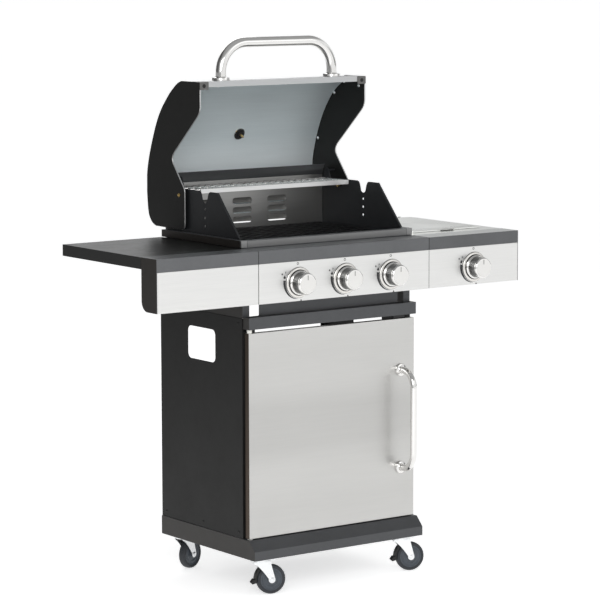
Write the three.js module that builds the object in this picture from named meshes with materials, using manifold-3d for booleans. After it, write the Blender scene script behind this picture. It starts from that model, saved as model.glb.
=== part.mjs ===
// Gas barbecue grill: a three-burner firebox with a hinged lid on a caster cart, with side shelves
// and a side burner. Millimetres, +Z up. X runs along the front (positive to the user's right hand)
// and -Y faces the user. The pieces are laid out about the cabinet's centre line; the whole group is
// then moved so that its origin is the middle of the bounding box on the floor.
import * as THREE from "three";
import { mergeVertices } from "three/addons/utils/BufferGeometryUtils.js";
import Module from "manifold-3d";

const wasm = await Module();
wasm.setup();

// ---------------------------------------------------------------- driving dimensions
const SHEET = 1.2; // folded sheet steel
const GAP = 0.4; // clearance left between pieces that touch
const SEAM = 0.8; // half the open line between the centre and side modules

const HALF_OVERALL = 569.5; // centre line to the end of a side shelf
const HALF_CENTRE = 269; // centre line to the seam between centre and side modules
const HALF_BASE = 268.5;
const HALF_CABINET = 267;
const HALF_DOOR = 262.5;

const FRONT = -326.7; // face of the control panel
const SHELF_FRONT = -258.4;
const SHELF_REAR = 108.6;
const RAIL_FRONT = -278;
const DOOR_FRONT = -273;
const DOOR_BACK = -255;
const CABINET_FRONT = -250.5;
const CABINET_REAR = 121;
const BASE_REAR = 122;

const BASE_BOTTOM = 96;
const BASE_TOP = 144.5;
const DOOR_BOTTOM = 147;
const DOOR_TOP = 669.5;
const RAIL_BOTTOM = 679.5;
const RAIL_TOP = 710;
const CABINET_TOP = 706;
const PANEL_BOTTOM = 749.5;
const FASCIA_BOTTOM = 850;
const FASCIA_TOP = 882.3;
const SHELF_BOTTOM = 852.5;
const SHELF_TOP = 881.7;
const SUPPORT_TOP = 879.7;
const RIM_TOP = 901;
const SIDE_PLATE_TOP = 1011.5;

const KNOB_Z = 796;
const KNOB_X = [-146.5, 0, 146.5, 420]; // three burners, then the side burner
const KNOB_HEIGHT = 40; // panel face to the knob's end

const TUB = { halfX: 246, front: -228, rear: 112, bottom: 748, top: 882 };
const TRAY = { halfX: 90, front: -90, rear: 96, bottom: 724, lip: 745 };
const SIDE_PLATE_OUT = 253; // outer face of the firebox's side plates
const LID_PLATE_IN = 259.5;
const LID_PLATE_OUT = 263.5;
const LID_HINGE = { y: 36, z: 995 };
const LID_TOP = 1288.5;
const LID_FRONT = -62;
const LID_REAR = 187;
const RACK_PIVOT = { y: 70, z: 1032 };
const RACK_HOLE_DEPTH = 3;

const DOOR_PIN = { x: -255, y: -265, radius: 3 };

const CASTER = { x: 224, frontY: -266, rearY: 84, trail: 26, wheelRadius: 38, wheelHalf: 10.5 };
const CASTERS = [
  { name: "front_left", x: -CASTER.x, y: CASTER.frontY, turn: -18, brake: true },
  { name: "front_right", x: CASTER.x, y: CASTER.frontY, turn: -18, brake: true },
  { name: "rear_left", x: -CASTER.x, y: CASTER.rearY, turn: 20, brake: false },
  { name: "rear_right", x: CASTER.x, y: CASTER.rearY, turn: 35, brake: false },
];

const BURNER_LID = {
  x0: 301, x1: 537, front: -213, rear: 92, bottom: 882.5, top: 888.5, hingeY: 94, hingeZ: 886,
};

// ---------------------------------------------------------------- materials
const finish = (color, roughness, metalness) => new THREE.MeshStandardMaterial({ color, roughness, metalness });
const blackPaint = finish(0x262624, 0.5, 0.2);
const greyPaint = finish(0x4a4b4d, 0.5, 0.3);
const stainless = finish(0xc8c7c4, 0.35, 0.9);
const galvanised = finish(0x8b8c8c, 0.5, 0.8);
const chrome = finish(0xd8d8d8, 0.12, 1.0);
const zinc = finish(0xdcdcda, 0.35, 0.9);
const castIron = finish(0x1c1c1c, 0.7, 0.3);
const brass = finish(0xb08d4a, 0.4, 0.9);
const tyreRubber = finish(0x3c4046, 0.6, 0.0);
const blackPlastic = finish(0x1d1d1d, 0.6, 0.0);

// ---------------------------------------------------------------- geometry helpers
const ALONG_X = new THREE.Matrix4().makeBasis(
  new THREE.Vector3(0, 1, 0),
  new THREE.Vector3(0, 0, 1),
  new THREE.Vector3(1, 0, 0)
);
const ALONG_MINUS_Y = new THREE.Matrix4().makeBasis(
  new THREE.Vector3(1, 0, 0),
  new THREE.Vector3(0, 0, 1),
  new THREE.Vector3(0, -1, 0)
);

/** A box between two corners. */
function box(x0, x1, y0, y1, z0, z1) {
  const geometry = new THREE.BoxGeometry(x1 - x0, y1 - y0, z1 - z0);
  return geometry.translate((x0 + x1) / 2, (y0 + y1) / 2, (z0 + z1) / 2);
}

/** A cylinder along one axis ("x", "y" or "z") from a to b, centred on the other two coordinates. */
function rod(axis, radius, a, b, c1, c2, sides = 12) {
  const geometry = new THREE.CylinderGeometry(radius, radius, b - a, sides);
  const middle = (a + b) / 2;
  if (axis === "x") return geometry.rotateZ(Math.PI / 2).translate(middle, c1, c2);
  if (axis === "y") return geometry.translate(c1, middle, c2);
  return geometry.rotateX(Math.PI / 2).translate(c1, c2, middle);
}

function extrude(shape, depth, curveSegments = 4) {
  return new THREE.ExtrudeGeometry(shape, { depth, bevelEnabled: false, curveSegments });
}

/** Extrudes a (y, z) outline along X from x0 to x1. */
function prismX(shape, x0, x1, curveSegments) {
  return extrude(shape, x1 - x0, curveSegments).applyMatrix4(ALONG_X).translate(x0, 0, 0);
}

/** Extrudes an (x, z) outline along Y from y0 to y1. */
function prismY(shape, y0, y1, curveSegments) {
  return extrude(shape, y1 - y0, curveSegments).applyMatrix4(ALONG_MINUS_Y).translate(0, y1, 0);
}

/** Extrudes an (x, y) outline along Z from z0 to z1. */
function prismZ(shape, z0, z1, curveSegments) {
  return extrude(shape, z1 - z0, curveSegments).translate(0, 0, z0);
}

function outline(points) {
  return new THREE.Shape(points.map(([a, b]) => new THREE.Vector2(a, b)));
}

function rectangle(a0, a1, b0, b1, radius) {
  const shape = new THREE.Shape();
  shape.moveTo(a0 + radius, b0);
  shape.lineTo(a1 - radius, b0);
  shape.absarc(a1 - radius, b0 + radius, radius, -Math.PI / 2, 0);
  shape.lineTo(a1, b1 - radius);
  shape.absarc(a1 - radius, b1 - radius, radius, 0, Math.PI / 2);
  shape.lineTo(a0 + radius, b1);
  shape.absarc(a0 + radius, b1 - radius, radius, Math.PI / 2, Math.PI);
  shape.lineTo(a0, b0 + radius);
  shape.absarc(a0 + radius, b0 + radius, radius, Math.PI, 1.5 * Math.PI);
  return shape;
}

/** The outline of a sheet that follows a line of points, with its thickness laid to the line's left. */
function sheetOutline(points, thickness) {
  const side = (a, b) => new THREE.Vector2(a.y - b.y, b.x - a.x).normalize();
  const line = points.map(([a, b]) => new THREE.Vector2(a, b));
  const offset = line.map((point, i) => {
    const before = side(line[Math.max(i - 1, 0)], line[Math.max(i, 1)]);
    const after = side(line[Math.min(i, line.length - 2)], line[Math.min(i + 1, line.length - 1)]);
    const normal = before.clone().add(after).normalize();
    return point.clone().addScaledVector(normal, thickness / normal.dot(after));
  });
  return new THREE.Shape([...line, ...offset.reverse()]);
}

/** A solid of revolution about the Z axis from (radius, height) points. */
function turned(profile, sides = 20) {
  const points = profile.map(([radius, height]) => new THREE.Vector2(radius, height));
  return new THREE.LatheGeometry(points, sides).rotateX(Math.PI / 2);
}

/** A round tube or bar that follows straight runs joined by bends of one radius. */
function bentBar(corners, bendRadius, barRadius, sides = 10, bendSteps = 5) {
  const points = corners.map((corner) => new THREE.Vector3(...corner));
  const path = new THREE.CurvePath();
  let from = points[0];
  for (let i = 1; i < points.length - 1; i += 1) {
    const toBack = points[i - 1].clone().sub(points[i]).normalize();
    const toNext = points[i + 1].clone().sub(points[i]).normalize();
    const start = points[i].clone().addScaledVector(toBack, bendRadius);
    const end = points[i].clone().addScaledVector(toNext, bendRadius);
    path.add(new THREE.LineCurve3(from, start));
    path.add(new THREE.QuadraticBezierCurve3(start, points[i], end));
    from = end;
  }
  path.add(new THREE.LineCurve3(from, points[points.length - 1]));
  const section = new THREE.Shape().absarc(0, 0, barRadius, 0, 2 * Math.PI);
  const steps = (bendSteps + 2) * (2 * points.length - 3);
  return new THREE.ExtrudeGeometry(section, { steps, curveSegments: sides / 2, extrudePath: path });
}

function solid(geometry) {
  const bare = geometry.clone();
  bare.deleteAttribute("normal");
  bare.deleteAttribute("uv");
  const merged = mergeVertices(bare, 1e-4);
  return new wasm.Manifold(
    new wasm.Mesh({
      numProp: 3,
      vertProperties: new Float32Array(merged.attributes.position.array),
      triVerts: new Uint32Array(merged.index.array),
    })
  );
}

function geometryOf(manifold) {
  const mesh = manifold.getMesh();
  const geometry = new THREE.BufferGeometry();
  geometry.setAttribute("position", new THREE.BufferAttribute(new Float32Array(mesh.vertProperties), 3));
  geometry.setIndex(new THREE.BufferAttribute(new Uint32Array(mesh.triVerts), 1));
  return geometry;
}

/** Joins the first list of geometries and cuts the second list away. */
function shaped(added, removed = []) {
  let body = solid(added[0]);
  for (const extra of added.slice(1)) body = body.add(solid(extra));
  for (const tool of removed) body = body.subtract(solid(tool));
  return geometryOf(body);
}

function part(group, name, geometry, material) {
  const mesh = new THREE.Mesh(geometry, material);
  mesh.name = name;
  group.add(mesh);
  return mesh;
}

function section(parent) {
  const group = new THREE.Group();
  parent.add(group);
  return group;
}

/** Calls make("left", -1) and make("right", 1): pieces that come in mirrored pairs. */
function eachSide(make) {
  make("left", -1);
  make("right", 1);
}

/** A box given by its distances from the centre line, on the left (-1) or right (1) side. */
function sideBox(side, near, far, y0, y1, z0, z1) {
  return side < 0 ? box(-far, -near, y0, y1, z0, z1) : box(near, far, y0, y1, z0, z1);
}

/** A pin along X at one point (y, z), between two distances from the centre line, on one side. */
function sideRod(side, radius, near, far, { y, z }, sides) {
  return side < 0 ? rod("x", radius, -far, -near, y, z, sides) : rod("x", radius, near, far, y, z, sides);
}

/** A (y, z) outline extruded between two distances from the centre line, on one side. */
function sidePrism(side, shape, near, far, curveSegments) {
  return side < 0 ? prismX(shape, -far, -near, curveSegments) : prismX(shape, near, far, curveSegments);
}

// ---------------------------------------------------------------- the cart
function cart(group) {
  baseShelf(group);
  cabinetPanels(group);
  frontRail(group);
  supports(group);
}

function baseShelf(group) {
  const lipTop = 119.5;
  const lipFront = -304;
  const deckFront = -280;
  const flange = 80;
  const profile = (inset) =>
    outline([
      [lipFront + inset, BASE_BOTTOM + inset],
      [BASE_REAR - inset, BASE_BOTTOM + inset],
      [BASE_REAR - inset, BASE_TOP - inset],
      [deckFront + inset, BASE_TOP - inset],
      [lipFront + inset, lipTop],
    ]);
  const outer = prismX(profile(0), -HALF_BASE, HALF_BASE);
  const inner = prismX(profile(SHEET), -HALF_BASE + SHEET, HALF_BASE - SHEET);
  const mouthX = HALF_BASE - flange;
  const mouth = box(-mouthX, mouthX, lipFront + flange, BASE_REAR - flange, BASE_BOTTOM - 1, BASE_BOTTOM + 5);
  const pinHole = rod("z", DOOR_PIN.radius + 0.5, BASE_TOP - 5, BASE_TOP + 5, DOOR_PIN.x, DOOR_PIN.y);
  part(group, "base_shelf", shaped([outer], [inner, mouth, pinHole]), greyPaint);
}

function cabinetPanels(group) {
  const bottom = BASE_TOP + GAP;
  const flange = 17;
  const handHole = { y0: -130.5, y1: -6.5, z0: 580, z1: 664, radius: 14 };
  eachSide((word, side) => {
    const near = HALF_CABINET - flange;
    const outer = sideBox(side, near, HALF_CABINET, CABINET_FRONT, CABINET_REAR, bottom, CABINET_TOP);
    const wall = HALF_CABINET - SHEET;
    const inner = sideBox(
      side, near - 1, wall, CABINET_FRONT + SHEET, CABINET_REAR - SHEET, bottom - 1, CABINET_TOP + 1
    );
    const hole = rectangle(handHole.y0, handHole.y1, handHole.z0, handHole.z1, handHole.radius);
    const punch = sidePrism(side, hole, HALF_CABINET - 5, HALF_CABINET + 5, 4);
    part(group, `cabinet_${word}_panel`, shaped([outer], [inner, punch]), blackPaint);
  });

  // The back is closed only low down; the bottle goes in above the low panel.
  const halfX = HALF_CABINET - SHEET - GAP;
  const backY = CABINET_REAR - SHEET - GAP;
  const backTop = 330;
  const lowPanel = outline([
    [backY - SHEET, bottom],
    [backY, bottom],
    [backY, backTop],
    [backY - 16, backTop],
    [backY - 16, backTop - SHEET],
    [backY - SHEET, backTop - SHEET],
  ]);
  part(group, "cabinet_back_panel", prismX(lowPanel, -halfX, halfX), blackPaint);
}

function frontRail(group) {
  const halfX = 264.8;
  const back = CABINET_FRONT - GAP;
  const outer = box(-halfX, halfX, RAIL_FRONT, back, RAIL_BOTTOM, RAIL_TOP);
  const inner = box(
    -halfX + SHEET, halfX - SHEET, RAIL_FRONT + SHEET, back + 1, RAIL_BOTTOM + SHEET, RAIL_TOP - SHEET
  );
  const pinHole = rod("z", DOOR_PIN.radius + 0.5, RAIL_BOTTOM - 1, RAIL_BOTTOM + 5, DOOR_PIN.x, DOOR_PIN.y);
  part(group, "cabinet_front_rail", shaped([outer], [inner, pinHole]), greyPaint);
}

function supports(group) {
  const outer = HALF_CABINET - SHEET - GAP;
  const webBottom = 690;
  const rear = 108;
  const flange = 21;
  eachSide((word, side) => {
    const web = sideBox(side, outer - SHEET, outer, CABINET_FRONT + SHEET + GAP, rear, webBottom, SUPPORT_TOP);
    const post = sideBox(
      side, outer - flange, outer, CABINET_FRONT, CABINET_FRONT + 2 * SHEET, CABINET_TOP + GAP, SUPPORT_TOP
    );
    const top = sideBox(side, outer - 12, outer, CABINET_FRONT + SHEET, rear, SUPPORT_TOP - SHEET, SUPPORT_TOP);
    part(group, `firebox_support_${word}`, shaped([web, post, top]), greyPaint);
  });

  const braceHalf = outer - SHEET - GAP;
  const bracket = sheetOutline(
    [
      [rear - 18, 694],
      [rear - GAP, 694],
      [rear - GAP, 718],
    ],
    SHEET
  );
  part(group, "rear_brace", prismX(bracket, -braceHalf, braceHalf), greyPaint);

  const shield = sheetOutline(
    [
      [-238, 776],
      [-256, 776],
      [-256, RAIL_TOP + GAP],
      [-252.2, RAIL_TOP + GAP],
    ],
    SHEET
  );
  part(group, "heat_shield_panel", prismX(shield, -219, 221), greyPaint);
}

// ---------------------------------------------------------------- the firebox
function firebox(group) {
  fireboxTub(group);
  fireboxRim(group);
  sidePlates(group);
  rearWall(group);
  cookingGrate(group);
  burners(group);
  gasManifold(group);
  greaseTray(group);
}

function fireboxTub(group) {
  const flangeX = 261;
  const outer = box(-TUB.halfX, TUB.halfX, TUB.front, TUB.rear, TUB.bottom, TUB.top);
  const flange = box(-flangeX, flangeX, -253, 118, TUB.top - SHEET, TUB.top);
  const inner = box(
    -TUB.halfX + SHEET, TUB.halfX - SHEET, TUB.front + SHEET, TUB.rear - SHEET, TUB.bottom + SHEET, TUB.top + 1
  );
  const ledgeDepth = 10;
  const ledges = [];
  for (const z of [828, 876]) {
    ledges.push(box(-TUB.halfX + 1, TUB.halfX - 1, TUB.front + 1, TUB.front + ledgeDepth, z, z + SHEET));
    ledges.push(box(-TUB.halfX + 1, TUB.halfX - 1, TUB.rear - ledgeDepth, TUB.rear - 1, z, z + SHEET));
  }
  const drain = box(-40, 40, -20, 40, TUB.bottom - 1, TUB.bottom + 5);
  const burnerHoles = KNOB_X.slice(0, 3).map((x) => rod("y", 16, TUB.front - 5, TUB.front + 5, x, KNOB_Z, 16));
  const emptied = geometryOf(solid(outer).add(solid(flange)).subtract(solid(inner)));
  const runners = [];
  const runnerOut = TRAY.halfX + 9;
  const runnerFoot = TRAY.lip - 4;
  for (const side of [-1, 1]) {
    runners.push(sideBox(side, runnerOut - 1.5, runnerOut, TRAY.front, TRAY.rear, runnerFoot, TUB.bottom + 1));
    runners.push(sideBox(side, runnerOut - 7, runnerOut, TRAY.front, TRAY.rear, runnerFoot, runnerFoot + 1.5));
  }
  part(group, "firebox_tub", shaped([emptied, ...ledges, ...runners], [drain, ...burnerHoles]), blackPaint);
}

/** A folded frame around the front and the sides of the firebox's mouth. */
function fireboxRim(group) {
  const halfX = 269.8;
  const inX = SIDE_PLATE_OUT + 0.6;
  const front = -253.7;
  const rear = 109.3;
  const bottom = FASCIA_TOP + GAP;
  const outer = box(-halfX, halfX, front, rear, bottom, RIM_TOP);
  const mouth = box(-inX, inX, front + 16.2, rear + 1, bottom - 1, RIM_TOP + 1);
  const under = box(-halfX + SHEET, halfX - SHEET, front + SHEET, rear + 1, bottom - 1, RIM_TOP - SHEET);
  part(group, "firebox_rim", shaped([outer], [mouth, under]), greyPaint);
}

function sidePlates(group) {
  const bottom = TUB.top + GAP;
  const notchY = -67.6;
  const cornerY = -129.7;
  const footY = -229.2;
  const shape = new THREE.Shape();
  shape.moveTo(footY, bottom);
  shape.lineTo(116, bottom);
  shape.lineTo(116, SIDE_PLATE_TOP);
  shape.lineTo(notchY + 26, SIDE_PLATE_TOP);
  shape.quadraticCurveTo(notchY + 18, SIDE_PLATE_TOP, notchY + 14, SIDE_PLATE_TOP - 10);
  shape.lineTo(notchY + 11, 992);
  shape.absarc(notchY, 992, 11, 0, -Math.PI, true);
  shape.lineTo(notchY - 14, SIDE_PLATE_TOP - 10);
  shape.quadraticCurveTo(notchY - 18, SIDE_PLATE_TOP, notchY - 26, SIDE_PLATE_TOP);
  shape.lineTo(cornerY, SIDE_PLATE_TOP);
  shape.lineTo(footY, RIM_TOP);

  // The sloping front edge is folded outwards.
  const slope = sheetOutline(
    [
      [footY + 1.5, RIM_TOP + 1.6],
      [cornerY + 0.3, SIDE_PLATE_TOP],
    ],
    -SHEET
  );
  const holes = [922.5, 943.5, 964.5];
  eachSide((word, side) => {
    const plate = sidePrism(side, shape, SIDE_PLATE_OUT - SHEET, SIDE_PLATE_OUT, 3);
    const fold = sidePrism(side, slope, SIDE_PLATE_OUT - SHEET, 258);
    const face = side * SIDE_PLATE_OUT;
    const cuts = holes.map((z) => rod("x", 3, face - 5, face + 5, notchY, z, 8));
    cuts.push(rod("x", 4, face - 5, face + 5, LID_HINGE.y, LID_HINGE.z, 12));
    part(group, `side_plate_${word}`, shaped([plate, fold], cuts), blackPaint);
  });
}

function rearWall(group) {
  const halfX = SIDE_PLATE_OUT - SHEET - GAP;
  const profile = sheetOutline(
    [
      [114, TUB.top + GAP],
      [114, 1019],
      [103, 1046],
    ],
    -SHEET
  );
  const slots = [];
  for (const x of [-124, -11.5, 101]) {
    for (const z of [911, 936, 961]) {
      slots.push(box(x - 28, x + 28, 105, 120, z - 3.5, z + 3.5));
    }
  }
  part(group, "rear_wall", shaped([prismX(profile, -halfX, halfX)], slots), galvanised);
}

function cookingGrate(group) {
  const halfX = 242;
  const front = -224;
  const rear = 108;
  const foot = 878;
  const top = 891;
  const bars = [
    box(-halfX, halfX, front, front + 8, foot, top),
    box(-halfX, halfX, rear - 8, rear, foot, top),
    box(-halfX, halfX, -62, -54, foot, top - 6),
  ];
  const count = 25;
  const pitch = (2 * halfX - 6) / (count - 1);
  for (let i = 0; i < count; i += 1) {
    const x = -halfX + 3 + i * pitch;
    bars.push(box(x - 3, x + 3, front + 1, rear - 1, top - 8, top));
  }
  part(group, "cooking_grate", shaped(bars), castIron);
}

/** Three tube burners, each under its own folded flame tamer. */
function burners(group) {
  const names = ["left", "centre", "right"];
  const mouthY = -262;
  const tailY = 84;
  names.forEach((word, i) => {
    const tube = turned(
      [
        [0, 60],
        [9, 60],
        [9, 0],
        [13.5, 0],
        [13.5, 22],
        [11, 46],
        [13, 70],
        [13, tailY - mouthY - 6],
        [8, tailY - mouthY],
        [0, tailY - mouthY],
      ],
      12
    );
    const burner = part(group, `burner_${word}`, tube, stainless);
    burner.position.set(KNOB_X[i], mouthY, KNOB_Z);
    burner.rotation.x = -Math.PI / 2;

    const tent = sheetOutline(
      [
        [-62, 0],
        [-62, -8],
        [0, 24],
        [62, -8],
        [62, 0],
      ],
      SHEET
    );
    const tamer = part(group, `flame_tamer_${word}`, prismY(tent, -220, 104), castIron);
    tamer.position.set(KNOB_X[i], 0, 838.5);
  });
}

/** The gas rail with its four valves and their spindles, and the inlet that a hose screws on to. */
function gasManifold(group) {
  const railY = -290;
  const railZ = 772;
  const pieces = [rod("x", 8, -200, 470, railY, railZ, 10), rod("x", 11, 468, 482, railY, railZ, 6)];
  for (const x of KNOB_X) {
    pieces.push(box(x - 11, x + 11, -302, -276, railZ - 6, KNOB_Z + 11));
    pieces.push(rod("y", 4, FRONT - 26, -300, x, KNOB_Z, 10));
    pieces.push(rod("y", 4, -280, -256, x, KNOB_Z, 8));
  }
  part(group, "gas_manifold", shaped(pieces), brass);
}

function greaseTray(group) {
  const { halfX, front, rear, bottom, lip } = TRAY;
  const outer = box(-halfX, halfX, front, rear, bottom, lip);
  const inner = box(-halfX + SHEET, halfX - SHEET, front + SHEET, rear - SHEET, bottom + SHEET, lip + 1);
  const lips = [-1, 1].map((side) => sideBox(side, halfX - 1, halfX + 6, front, rear, lip - SHEET, lip));
  const pull = box(-40, 40, rear - 1, rear + 22, lip - 12, lip - 10);
  part(group, "grease_tray", shaped([outer, pull, ...lips], [inner]), galvanised);
}

// ---------------------------------------------------------------- the front and the side shelves
function frontAndShelves(group) {
  const panelEnd = HALF_OVERALL - SHEET - GAP;
  panel(group, "control_panel", -HALF_CENTRE + SEAM, HALF_CENTRE - SEAM, KNOB_X.slice(0, 3));
  panel(group, "left_front_panel", -panelEnd, -HALF_CENTRE - SEAM, []);
  panel(group, "right_front_panel", HALF_CENTRE + SEAM, panelEnd, KNOB_X.slice(3));
  fascias(group);
  shelves(group);
  sideBurner(group);
}

/** A stainless front panel, folded back along its top and bottom edges. */
function panel(group, name, x0, x1, knobs) {
  const top = FASCIA_BOTTOM - GAP;
  const profile = sheetOutline(
    [
      [-312, top],
      [FRONT, top],
      [FRONT, PANEL_BOTTOM],
      [-290, PANEL_BOTTOM],
    ],
    SHEET
  );
  const holes = knobs.map((x) => rod("y", 8, FRONT - 5, FRONT + 5, x, KNOB_Z, 16));
  part(group, name, shaped([prismX(profile, x0, x1)], holes), stainless);
}

/** The dark strip over each front panel; the two outer ones carry the end caps. */
function fascias(group) {
  const strip = (x0, x1, rear) => {
    const profile = sheetOutline(
      [
        [FRONT, FASCIA_BOTTOM],
        [FRONT, FASCIA_TOP],
        [rear, FASCIA_TOP],
        [rear, FASCIA_TOP - 24],
      ],
      -SHEET
    );
    return prismX(profile, x0, x1);
  };
  part(group, "fascia_centre", strip(-HALF_CENTRE + SEAM, HALF_CENTRE - SEAM, -254.6), greyPaint);

  const capRear = SHELF_FRONT;
  const radius = 26;
  const cap = new THREE.Shape();
  cap.moveTo(FRONT, PANEL_BOTTOM);
  cap.lineTo(capRear - radius, PANEL_BOTTOM);
  cap.absarc(capRear - radius, PANEL_BOTTOM + radius, radius, -Math.PI / 2, 0);
  cap.lineTo(capRear, FASCIA_TOP);
  cap.lineTo(FRONT, FASCIA_TOP);
  eachSide((word, side) => {
    const x0 = side < 0 ? -HALF_OVERALL : HALF_CENTRE + SEAM;
    const x1 = side < 0 ? -HALF_CENTRE - SEAM : HALF_OVERALL;
    const end = sidePrism(side, cap, HALF_OVERALL - SHEET, HALF_OVERALL, 5);
    part(group, `fascia_${word}`, shaped([strip(x0, x1, SHELF_FRONT), end]), greyPaint);
  });
}

function shelves(group) {
  const near = HALF_CENTRE + 1.3;
  const far = HALF_OVERALL;
  const front = SHELF_FRONT + GAP;
  const rear = SHELF_REAR;
  const tray = (side) => [
    sideBox(side, near, far, front, rear, SHELF_BOTTOM, SHELF_TOP),
    sideBox(side, near + SHEET, far - SHEET, front + SHEET, rear - SHEET, SHELF_BOTTOM - 1, SHELF_TOP - SHEET),
  ];
  const [leftOuter, leftInner] = tray(-1);
  part(group, "left_shelf", shaped([leftOuter], [leftInner]), blackPaint);

  // The right shelf has a sunk pan for the side burner.
  const [rightOuter, rightInner] = tray(1);
  const pan = { x0: 312, x1: 526, y0: -195, y1: 75, bottom: 843 };
  const shell = solid(rightOuter).subtract(solid(rightInner));
  const bowl = solid(box(pan.x0, pan.x1, pan.y0, pan.y1, pan.bottom, SHELF_TOP - 0.5));
  const hollow = solid(
    box(pan.x0 + SHEET, pan.x1 - SHEET, pan.y0 + SHEET, pan.y1 - SHEET, pan.bottom + SHEET, SHELF_TOP + 1)
  );
  const neckHole = solid(rod("z", 14, pan.bottom - 1, pan.bottom + 5, KNOB_X[3], -60, 16));
  part(group, "right_shelf", geometryOf(shell.add(bowl).subtract(hollow).subtract(neckHole)), blackPaint);
}

function sideBurner(group) {
  const centre = { x: KNOB_X[3], y: -60 };
  const head = turned(
    [
      [0, KNOB_Z + 4],
      [10, KNOB_Z + 4],
      [10, 850],
      [40, 853],
      [40, 862],
      [30, 866],
      [0, 866],
    ],
    20
  ).translate(centre.x, centre.y, 0);
  const feed = rod("y", 11, -248, -50, centre.x, KNOB_Z, 12);
  const mouth = rod("y", 6, -249, -220, centre.x, KNOB_Z, 10);
  part(group, "side_burner", shaped([head, feed], [mouth]), brass);

  // Two bars each way, hooked over the pan's edge by their turned-down ends.
  const bars = [];
  for (const offset of [-30, 30]) {
    bars.push(box(314.2, 523.8, centre.y + offset - 3, centre.y + offset + 3, 872, 879));
    bars.push(box(centre.x + offset - 3, centre.x + offset + 3, -192.8, 72.8, 872, 879));
    for (const y of [-192.8, 66.8]) {
      bars.push(box(centre.x + offset - 3, centre.x + offset + 3, y, y + 6, 845.2, 876));
    }
  }
  part(group, "side_burner_trivet", shaped(bars), castIron);
}

function sideBurnerLid(group) {
  const { x0, x1, front, rear, bottom, top, hingeY, hingeZ } = BURNER_LID;
  const outer = box(x0, x1, front, rear, bottom, top);
  const inner = box(x0 + SHEET, x1 - SHEET, front + SHEET, rear - SHEET, bottom - 1, top - SHEET);
  const knuckles = [x0 + 40, x1 - 70].map((x) => rod("x", 2.2, x, x + 30, hingeY, hingeZ, 10));
  part(group, "side_burner_lid", shaped([outer, ...knuckles], [inner]), stainless);
}

// ---------------------------------------------------------------- knobs
function knobs(group) {
  const profile = [
    [0, 28],
    [4.6, 28],
    [4.6, 6.5],
    [24, 6.5],
    [24.5, 12],
    [27.5, 14],
    [27.5, 38],
    [25.5, KNOB_HEIGHT],
    [0, KNOB_HEIGHT],
  ];
  KNOB_X.forEach((x, i) => {
    const name = i < 3 ? `knob_${i + 1}` : "side_burner_knob";
    const knob = part(group, name, turned(profile, 24), chrome);
    knob.position.set(x, FRONT, KNOB_Z);
    knob.rotation.x = Math.PI / 2;
  });
}

// ---------------------------------------------------------------- the lid, drawn open
const LID_LIP = 14; // depth of the lid's folded front edge
const LID_SHEET_LINE = [
  [LID_FRONT, LID_TOP - LID_LIP],
  [LID_FRONT, LID_TOP],
  [-24, LID_TOP],
  ...new THREE.SplineCurve(
    [
      [-12, 1287.4],
      [28, 1273.5],
      [76, 1240.5],
      [116, 1191],
      [144.5, 1136],
      [165, 1076],
      [171.5, 1030],
      [170, 975],
      [163, 940],
      [148, 917],
      [128, 909],
    ].map(([y, z]) => new THREE.Vector2(y, z))
  )
    .getPoints(22)
    .map((point) => [point.x, point.y]),
];
const THERMOMETER = { y: 143.8, z: 1136, lean: THREE.MathUtils.degToRad(-67) };

/** The side plates' outline: S-shaped towards the user, bowed towards the rear. */
function lidPlateOutline() {
  const shape = new THREE.Shape();
  shape.moveTo(LID_FRONT - 0.8, LID_TOP);
  shape.lineTo(LID_FRONT - 0.8, 1228);
  shape.quadraticCurveTo(LID_FRONT - 0.8, 1212.5, -48, 1198.5);
  shape.lineTo(56, 1106);
  shape.quadraticCurveTo(74, 1090, 62, 1073);
  shape.lineTo(14.5, 1014.5);
  shape.quadraticCurveTo(10, 1009, 10, 1000);
  shape.lineTo(10, 925);
  shape.quadraticCurveTo(10, 906, 29, 906);
  shape.lineTo(146, 907);
  shape.splineThru(
    [
      [165, 916],
      [180, 938],
      [186, 980],
      [LID_REAR, 1011],
      [184, 1056],
      [164, 1120.5],
      [130, 1193.5],
      [86, 1246],
      [48, 1277],
      [28, 1286.5],
      [18, LID_TOP],
    ].map(([y, z]) => new THREE.Vector2(y, z))
  );
  return shape;
}

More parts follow.
